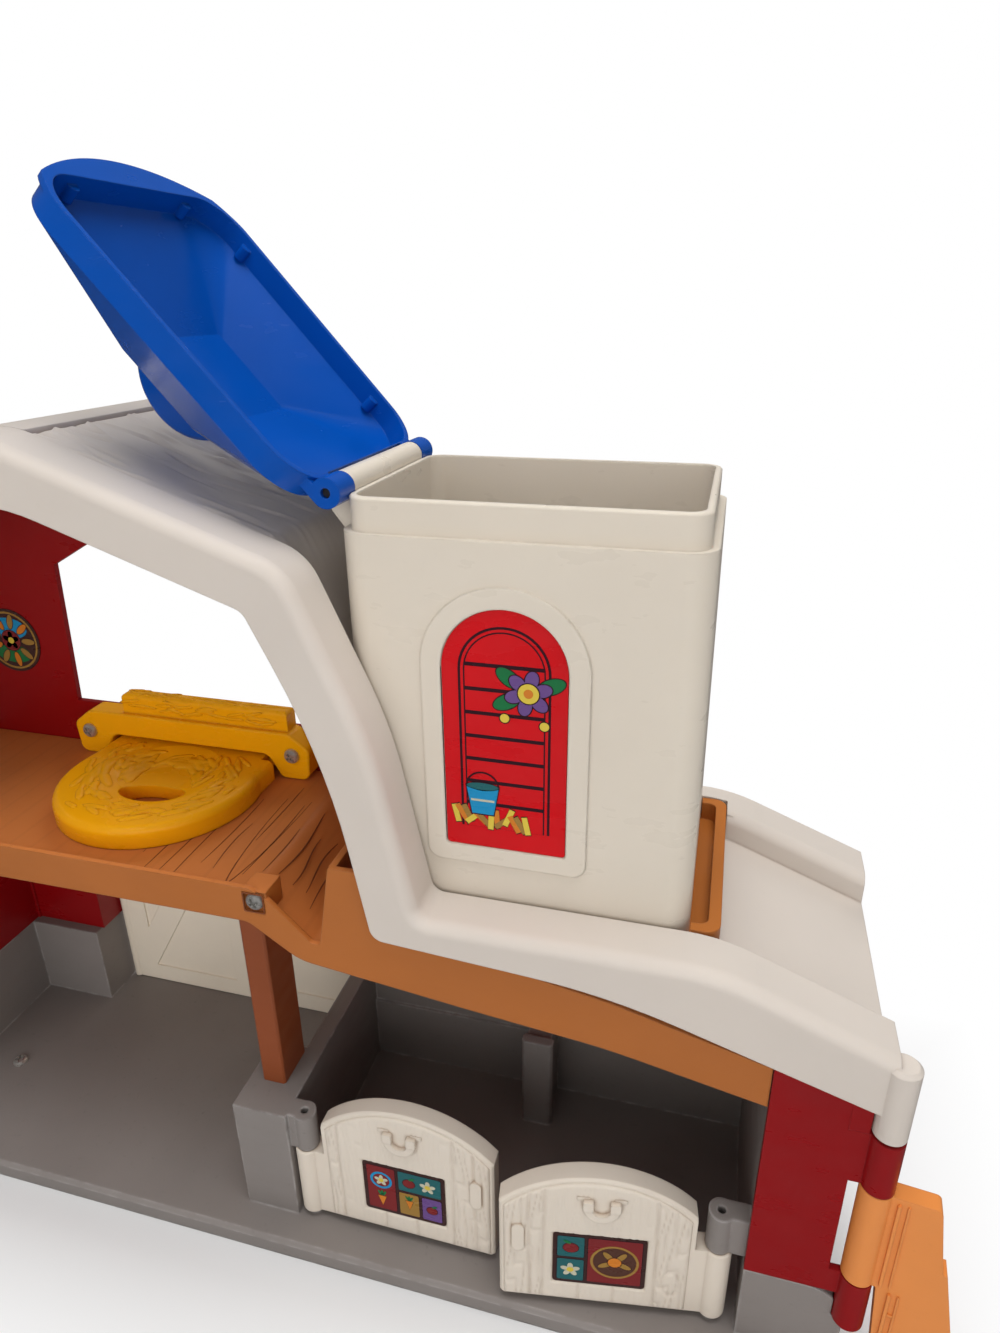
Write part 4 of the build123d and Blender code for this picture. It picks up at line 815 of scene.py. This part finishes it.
# strands: slim rounded slips laid on a curved face, used for the straw
strandSection = ((-1.0, -1.0), (-0.72, 0.55), (0.0, 1.0), (0.72, 0.55), (1.0, -1.0))


def addStrand(form, middle, turn, length, width, height, surface, sunk=0.25, along=8):
    rows = []
    for i in range(along + 1):
        s = 2.0 * i / along - 1
        reach = width / 2 * math.sqrt(max(0.03, 1 - s ** 4))
        row = []
        for across, lift in strandSection:
            a, b = turned(*middle, s * length / 2, across * reach, turn)
            top = height * math.sqrt(max(0.0, 1 - s ** 4)) * lift if lift > 0 else -sunk
            row.append(form.verts.new(surface(a, b, top)))
        rows.append(row)
    addTube(form, rows)


# straw on the yellow ring, laid round its dish and clear of its hole
strawLook = {
    "centre": (-80.5, 9.5), "inner": 12.5, "outer": 36.5, "back": 28.0, "hole": (-76.5, -2.5, 16.5, 9.0),
    "holeGap": 1.25, "dish": 25.0, "dishDepth": 3.0, "dishFall": 14.0, "count": 105, "lean": 0.5,
    "length": (8.0, 14.0), "width": (2.6, 4.4), "height": (0.45, 0.85), "overhang": 1.5, "seed": 11,
}
# straw on the front and the top of the bar behind it
ledgeLook = {
    "count": 46, "along": (-111.0, -37.0), "front": 35.3, "frontRise": (191.8, 196.8), "top": 199.0,
    "topDepth": (37.4, 40.8), "lean": 0.3, "length": (7, 12), "width": 1.7, "height": 0.35,
}


def makeStraw(look, ledge):
    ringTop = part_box("hay_flap")[1][2] * 1000
    centreX, centreY = look["centre"]
    holeX, holeY, holeA, holeB = look["hole"]
    draw = random.Random(look["seed"])

    def dished(a, b, h):
        away = math.hypot(a - centreX, b - centreY)
        dip = look["dishDepth"] * min(1.0, max(0.0, (look["dish"] - away) / look["dishFall"]))
        return Vector((a, b, ringTop - dip + h))

    form = bmesh.new()
    laid = 0
    while laid < look["count"]:
        away = draw.uniform(look["inner"], look["outer"])
        around = draw.uniform(0, 2 * math.pi)
        a, b = centreX + away * math.cos(around), centreY + away * math.sin(around)
        if math.hypot((a - holeX) / holeA, (b - holeY) / holeB) < look["holeGap"] or b > look["back"]:
            continue
        turn = around + math.pi / 2 + draw.uniform(-look["lean"], look["lean"])
        length = draw.uniform(*look["length"])
        if math.hypot(a - centreX, b - centreY) + 0.3 * length > look["outer"] + look["overhang"]:
            length = look["length"][0]
        width, height = draw.uniform(*look["width"]), draw.uniform(*look["height"])
        addStrand(form, (a, b), turn, length, width, height, dished)
        laid += 1
    finishPiece("hayRingStraw", form, "hayYellow", "hay", smooth=True)

    def onFront(x, z, h):
        return Vector((x, ledge["front"] - h, z))

    def onTop(x, y, h):
        return Vector((x, y, ledge["top"] + h))

    form = bmesh.new()
    for k in range(ledge["count"]):
        surface, across = (onFront, ledge["frontRise"]) if k % 2 else (onTop, ledge["topDepth"])
        middle = (draw.uniform(*ledge["along"]), draw.uniform(*across))
        turn = draw.uniform(-ledge["lean"], ledge["lean"])
        length = draw.uniform(*ledge["length"])
        addStrand(form, middle, turn, length, ledge["width"], ledge["height"], surface)
    finishPiece("hayLedgeStraw", form, "hayYellow", "barn", smooth=True)


makeStraw(strawLook, ledgeLook)
print("stage: straw")


# raised thatch field in the recess of the roof: one closed sheet on each side of the ridge, with strokes of a
# brush pressed into it and a soft fall before the silo. floor is the recess floor, from the ridge down
thatchLook = {
    "ridge": -82.0, "floor": ((-72.6, 312.9), (9.6, 283.0), (13.6, 279.2), (20.6, 262.6)),
    "front": -30.9, "back": 42.3, "step": 0.8, "sunk": 0.8,
    "rise": 10.4, "leastRise": 0.3, "fallEnd": 17.6, "fallLength": 11.0, "rimGap": 1.1, "rimDrop": 0.9,
    "strokes": 95, "length": (9, 22), "width": (1.1, 2.4), "depth": (0.35, 0.85), "lean": 0.35, "seed": 4,
}


def drawStrokes(look, long, wide):
    draw = random.Random(look["seed"])
    strokes = []
    for _ in range(look["strokes"]):
        middle = (draw.uniform(0, long), draw.uniform(0, wide))
        turn = draw.uniform(-look["lean"], look["lean"])
        halves = (draw.uniform(*look["length"]) / 2, draw.uniform(*look["width"]) / 2)
        strokes.append((middle, turn, halves, draw.uniform(*look["depth"]) * draw.choice((1, 1, -1))))
    return strokes


def strokeHeight(a, b, strokes):
    height = 0.0
    for (midA, midB), turn, (long, wide), depth in strokes:
        if abs(a - midA) > long * 2 or abs(b - midB) > long + wide * 3:
            continue
        along, across = turned(0, 0, a - midA, b - midB, -turn)
        along, across = along / long, across / wide
        if abs(along) < 1.9 and abs(across) < 2.6:
            height += depth * math.exp(-along ** 4 - across ** 2)
    return height


def placeOnFloor(floor, a):
    # the point of the recess floor that lies a from its first corner
    for start, end in zip(floor, floor[1:]):
        length = math.dist(start, end)
        if a <= length or end is floor[-1]:
            t = a / length
            return start[0] + (end[0] - start[0]) * t, start[1] + (end[1] - start[1]) * t
        a -= length


def thatchGrid(look, mirror):
    # points of the field's top and of its foot, in lines from the front to the back
    floor = look["floor"]
    long = sum(math.dist(start, end) for start, end in zip(floor, floor[1:]))
    wide = look["back"] - look["front"]
    strokes = drawStrokes(look, long, wide)
    columns, rows = int(long / look["step"]), int(wide / look["step"])
    head, foot = [], []
    for i in range(columns + 1):
        a = long * i / columns
        x, z = placeOnFloor(floor, a)
        fall = min(1.0, max(0.0, (look["fallEnd"] - x) / look["fallLength"]))
        lift = look["leastRise"] + (look["rise"] - look["leastRise"]) * fall * fall * (3 - 2 * fall)
        place = 2 * look["ridge"] - x if mirror else x
        line = []
        for j in range(rows + 1):
            b = wide * j / rows
            rim = min(j, rows - j) * wide / rows
            edge = min(1.0, rim / look["rimGap"], (a + 0.2) / look["rimGap"])
            top = z + lift - look["rimDrop"] * (1 - edge) ** 2 + strokeHeight(a, b, strokes) * edge * fall
            line.append(Vector((place, look["front"] + b, top)))
        head.append(line)
        foot.append([Vector((place, point.y, z - look["sunk"])) for point in line])
    return head, foot


def makeThatch(look):
    form = bmesh.new()
    for mirror in (False, True):
        headRing, footRing = [addSheet(form, grid) for grid in thatchGrid(look, mirror)]
        joinRings(form, headRing, footRing)
    finishPiece("roofThatch", form, "roofWhite", "barn", smooth=True)


makeThatch(thatchLook)
print("stage: thatch field")


# wood lines pressed into the deck, drawn as slim dark slips that lie on it and on its ramp, whose middle line
# runs between the two points of slope
grainLook = {
    "deckTop": 168.0, "slope": ((-8.8, 168.0), (18.5, 154.9)), "front": -43.0, "back": 30.0,
    "width": 0.62, "section": ((-1, -0.1), (-0.8, 0.05), (0.8, 0.05), (1, -0.1)), "steps": 20, "seed": 9,
    "lines": 9, "first": -62.0, "last": -11.5, "share": (0.35, 0.75), "bow": (-2.2, 2.2),
    "loop": {"middle": -21.0, "half": 5.5, "front": -40.0, "long": 58, "steps": 24},
    "rampLines": 5, "rampFirst": 3.0, "rampGap": 5.6, "rampLength": (26, 46), "rampSway": 1.3,
}


def addGrainLine(form, points, look, surface):
    rows = []
    last = len(points) - 1
    for k, (a, b) in enumerate(points):
        before, after = points[max(0, k - 1)], points[min(last, k + 1)]
        along = math.atan2(after[1] - before[1], after[0] - before[0])
        reach = look["width"] / 2 * math.sin(math.pi * min(max(k / last, 0.06), 0.94)) ** 0.5
        rows.append([form.verts.new(surface(*turned(a, b, 0, across * reach, along), h))
                     for across, h in look["section"]])
    addTube(form, rows)


def makeGrain(look):
    (startX, startZ), (endX, endZ) = look["slope"]
    run = math.dist(*look["slope"])
    downX, downZ = (endX - startX) / run, (endZ - startZ) / run

    def onDeck(a, b, h):
        return Vector((a, b, look["deckTop"] + h))

    def onRamp(a, b, h):
        return Vector((startX + downX * a - downZ * h, b, startZ + downZ * a + downX * h))

    draw = random.Random(look["seed"])
    form = bmesh.new()
    steps = range(look["steps"] + 1)
    for k in range(look["lines"]):
        a = look["first"] + (look["last"] - look["first"]) * k / (look["lines"] - 1)
        long = draw.uniform(*look["share"]) * (look["back"] - look["front"])
        b = draw.uniform(look["front"], look["back"] - long)
        bow = draw.uniform(*look["bow"])
        points = [(a + bow * math.sin(2.6 * t / look["steps"]), b + long * t / look["steps"]) for t in steps]
        addGrainLine(form, points, look, onDeck)
    # a pointed loop near the fall of the deck, and lines that run down it
    loop = look["loop"]
    points = []
    for t in range(loop["steps"] + 1):
        a = loop["middle"] + loop["half"] * math.cos(math.pi * t / loop["steps"])
        points.append((a, loop["front"] + loop["long"] * abs(2 * t / loop["steps"] - 1) ** 1.4))
    addGrainLine(form, points, look, onDeck)
    for k in range(look["rampLines"]):
        a = look["rampFirst"] + look["rampGap"] * k
        long = draw.uniform(*look["rampLength"])
        b = draw.uniform(look["front"] + 2, look["back"] - long)
        points = [(a + look["rampSway"] * math.sin(t / 5.0 + k), b + long * t / look["steps"]) for t in steps]
        addGrainLine(form, points, look, onRamp)
    finishPiece("deckGrain", form, "deckLineAndPocketShade", "barn")


makeGrain(grainLook)
print("stage: deck grain")


# screws with a cross recess stand for the plain ones. The profile is a share of the radius and a height
screwLook = {
    "radius": 3.4, "height": 2.2, "profile": ((1, 0.0), (1, 0.7), (0.93, 1.3), (0.75, 1.8), (0.45, 2.1)),
    "sides": 32, "slot": 0.95, "cross": 3.9, "crossTurn": 0.5, "deep": 1.15, "shank": 1.38, "shankFoot": -6.8,
    "seatDrop": 1.6,
}


def screwSpots(node, facing, look):
    # middles of the seats under the heads of a node's screws
    low, high = [[c * 1000 for c in corner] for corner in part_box(node)]
    if facing == "up":
        return [((low[0] + high[0]) / 2, (low[1] + high[1]) / 2, high[2] - look["seatDrop"])]
    seatY, middleZ = low[1] + look["height"], (low[2] + high[2]) / 2
    return [(low[0] + look["radius"], seatY, middleZ), (high[0] - look["radius"], seatY, middleZ)]


def onSeat(spot, facing):
    # facing is "up" or "front", and spot is the middle of the seat under the head
    def put(u, v, h):
        return Vector(spot) + (Vector((u, v, h)) if facing == "up" else Vector((u, -h, v)))
    return put


def screwBodies(spots, facing, look):
    form = bmesh.new()
    angles = [2 * math.pi * k / look["sides"] for k in range(look["sides"])]
    for spot in spots:
        put = onSeat(spot, facing)
        outline = [(look["radius"] * share, rise) for share, rise in look["profile"]]
        addTube(form, [[form.verts.new(put(radius * math.cos(a), radius * math.sin(a), rise)) for a in angles]
                       for radius, rise in outline])
        addPrism(form, oval(0, 0, look["shank"], count=16), look["shankFoot"], 0.05, put)
    return form


def crossCutter(name, spots, facing, look):
    form = bmesh.new()
    low, high = look["height"] - look["deep"], look["height"] + 1
    for spot in spots:
        for length, width in ((look["cross"], look["slot"]), (look["slot"], look["cross"])):
            addPrism(form, bar(0, 0, length, width, look["crossTurn"]), low, high, onSeat(spot, facing))
    toMetres(form)
    return addObject(name, form)


def makeScrews(name, node, facing, look):
    spots = screwSpots(node, facing, look)
    piece = finishPiece(name, screwBodies(spots, facing, look), "steel", "barn")
    cutter = crossCutter(name + "Cutter", spots, facing, look)
    cut = piece.modifiers.new("cross", "BOOLEAN")
    cut.operation = "DIFFERENCE"
    cut.solver = "EXACT"
    cut.use_self = True
    cut.object = cutter
    cutPiece = piece.evaluated_get(bpy.context.evaluated_depsgraph_get())
    cutMesh = bpy.data.meshes.new_from_object(cutPiece)
    piece.modifiers.clear()
    piece.data = cutMesh
    bpy.data.objects.remove(cutter)
    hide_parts(node)


makeScrews("baseScrewHead", "base_screw", "up", screwLook)
makeScrews("loftScrewHeads", "loft_screws", "front", screwLook)
makeScrews("hayScrewHeads", "hay_screws", "front", screwLook)
print("stage: screws")


# dark square frames round the loft screws: painted shade of the pockets they sit in
pocketShadeLook = {"half": 4.1, "round": 0.8, "face": -47.3, "height": 0.25, "rim": 0.45, "innerRound": 0.6}


def makeScrewPocketShade(look):
    form = bmesh.new()
    half, reach = look["half"], look["half"] - look["rim"]
    for x, _, z in screwSpots("loft_screws", "front", screwLook):
        outer = roundedBox(-half, half, -half, half, look["round"])
        inner = roundedBox(-reach, reach, -reach, reach, look["innerRound"])
        addBand(form, outer, inner, -0.1, look["height"], onSeat((x, look["face"], z), "front"))
    finishPiece("loftScrewPocketShade", form, "deckLineAndPocketShade", "barn")


# red strips that close a corner of the walls at each end: points are x and z, front and back are y
cornerStrips = {
    "wallCornerRight": {"points": ((195.3, 120.9), (201.7, 120.9), (201.7, 131.9), (195.3, 133.8)),
                        "front": -48.06, "back": -45.5},
    "wallCornerLeft": {"points": ((-203.7, 52.0), (-201.8, 52.0), (-201.8, 159.7), (-203.7, 159.7)),
                       "front": 41.9, "back": 43.3},
}


def makeCornerStrip(name, strip):
    form = bmesh.new()
    addPrism(form, strip["points"], strip["front"], strip["back"], lambda u, v, h: Vector((u, h, v)))
    finishPiece(name, form, "wallRed", "barn")


makeScrewPocketShade(pocketShadeLook)
for stripName, stripLook in cornerStrips.items():
    makeCornerStrip(stripName, stripLook)
print("stage: screw seats and corner strips")


# edge of the side fence beside its barrel: an outer bead and a slimmer inner one with a groove between them,
# above and below, and short ribs across the lower groove. upper and lower are a side, a foot and a top
fenceLook = {
    "hinge": (207.3, -47.0), "turn": -6.0, "face": -3.0, "sunk": -0.3,
    "outer": 1.1, "outerProud": 0.8, "groove": 1.9, "inner": 0.7, "innerProud": 0.4,
    "upper": (6.4, 57.0, 96.5), "lower": (9.7, 14.0, 54.5), "ribs": (22.0, 33.0, 44.0), "rib": 1.0,
}


def makeFenceEdge(look):
    form = bmesh.new()
    turn = math.radians(look["turn"])
    sunk, outerBead, innerBead = look["sunk"], look["outer"], look["inner"]

    def put(u, v, h):
        return Vector((*turned(*look["hinge"], u, look["face"] - h, turn), v))

    for left, foot, head in (look["upper"], look["lower"]):
        inner = left + outerBead + look["groove"]
        addPrism(form, roundedBox(left, left + outerBead, foot, head, 0.5), sunk, look["outerProud"], put)
        addPrism(form, roundedBox(inner, inner + innerBead, foot, head, 0.3), sunk, look["innerProud"], put)
    middle = look["lower"][0] + outerBead + look["groove"] / 2
    for height in look["ribs"]:
        addPrism(form, bar(middle, height, look["groove"] + 0.3, look["rib"]), sunk, look["innerProud"], put)
    finishPiece("fenceEdge", form, "fenceOrange", "fence")


makeFenceEdge(fenceLook)
print("stage: fence edge")


# floor, sky and lamps. The plastics mirror one lamp only, and a darker floor and sky than they stand in
roomSetup = {
    "floor": {"colour": (0.80, 0.80, 0.80), "mirrored": (0.10, 0.10, 0.10), "rough": 0.9, "half": 8,
              "drop": 0.0002, "baseHalf": (0.206, 0.060), "fadeFrom": 0.012, "fadeTo": 0.085},
    "sky": {"ambient": 0.25, "mirrored": 0.12, "seen": 1},
    "lamps": {
        "key": {"place": (0.24, -0.12, 1.40), "aim": (0.05, 0.0, 0.16), "size": 0.70, "watts": 12.0},
        "right": {"place": (0.50, -1.10, 0.26), "aim": (0.08, 0.0, 0.09), "size": 1.0, "watts": 4.6},
        "left": {"place": (-0.22, -0.95, 0.50), "aim": (-0.08, 0.0, 0.18), "size": 0.7, "watts": 2.3},
        "back": {"place": (-0.25, 1.05, 0.75), "aim": (-0.05, 0.0, 0.19), "size": 0.9, "watts": 9.0},
        "shine": {"place": (-0.30, -0.50, 1.20), "aim": (0.05, 0.0, 0.2), "size": 0.35, "watts": 0.6},
    },
    "mirroredLamp": "shine",
}


def mixShaders(tree, factor, first, second):
    mix = add(tree, "ShaderNodeMixShader")
    for socket, value in zip(mix.inputs, (factor, first, second)):
        tree.links.new(value, socket)
    return mix.outputs[0]


def rayKinds(tree):
    # whether a ray comes straight from the camera, and whether it is a mirrored one
    path = add(tree, "ShaderNodeLightPath")
    straight = calc(tree, "MAXIMUM", path.outputs["Is Camera Ray"], path.outputs["Is Transmission Ray"])
    return straight, path.outputs["Is Glossy Ray"]


def makeFloor(setup):
    form = bmesh.new()
    bmesh.ops.create_grid(form, x_segments=2, y_segments=2, size=setup["half"])
    floor = addObject("floor", form)
    floor.location.z = -setup["drop"]
    material, tree, shader = newTree("floor")
    shader.inputs["Base Color"].default_value = (*setup["colour"], 1)
    shader.inputs["Roughness"].default_value = setup["rough"]
    shader.inputs["Specular IOR Level"].default_value = 0.1
    # away from the toy the floor turns into the white ground, so that only its shadow stays
    split = add(tree, "ShaderNodeSeparateXYZ")
    tree.links.new(objectPlace(tree), split.inputs["Vector"])
    awayX, awayY = [calc(tree, "SUBTRACT", calc(tree, "ABSOLUTE", split.outputs[axis], 0), half)
                    for axis, half in zip("XY", setup["baseHalf"])]
    fade = span(tree, calc(tree, "MAXIMUM", awayX, awayY), 0, 1, setup["fadeFrom"], setup["fadeTo"])
    straight, glossy = rayKinds(tree)
    white = add(tree, "ShaderNodeEmission")
    # glossy plastics mirror a darker floor
    shade = add(tree, "ShaderNodeBsdfDiffuse")
    shade.inputs["Color"].default_value = (*setup["mirrored"], 1)
    near = mixShaders(tree, glossy, shader.outputs[0], shade.outputs[0])
    surface = mixShaders(tree, calc(tree, "MULTIPLY", fade, straight), near, white.outputs[0])
    tree.links.new(surface, tree.nodes["Material Output"].inputs["Surface"])
    floor.data.materials.append(material)


def makeSky(setup):
    world = bpy.data.worlds.new("sky")
    world.use_nodes = True
    tree = world.node_tree
    skies = {}
    for name, strength in setup.items():
        sky = add(tree, "ShaderNodeBackground")
        sky.inputs["Color"].default_value = (1, 1, 1, 1)
        sky.inputs["Strength"].default_value = strength
        skies[name] = sky.outputs[0]
    straight, glossy = rayKinds(tree)
    around = mixShaders(tree, glossy, skies["ambient"], skies["mirrored"])
    surface = mixShaders(tree, straight, around, skies["seen"])
    tree.links.new(surface, tree.nodes["World Output"].inputs["Surface"])
    bpy.context.scene.world = world


def makeLamps(setup):
    for name, lamp in setup["lamps"].items():
        data = bpy.data.lights.new(name, "AREA")
        data.size = lamp["size"]
        data.energy = lamp["watts"]
        light = bpy.data.objects.new(name, data)
        bpy.context.scene.collection.objects.link(light)
        light.location = lamp["place"]
        light.visible_glossy = name == setup["mirroredLamp"]
        toward = Vector(lamp["aim"]) - Vector(lamp["place"])
        light.rotation_euler = toward.to_track_quat("-Z", "Y").to_euler()


makeFloor(roomSetup["floor"])
makeSky(roomSetup["sky"])
makeLamps(roomSetup)
print("stage: room and lamps")
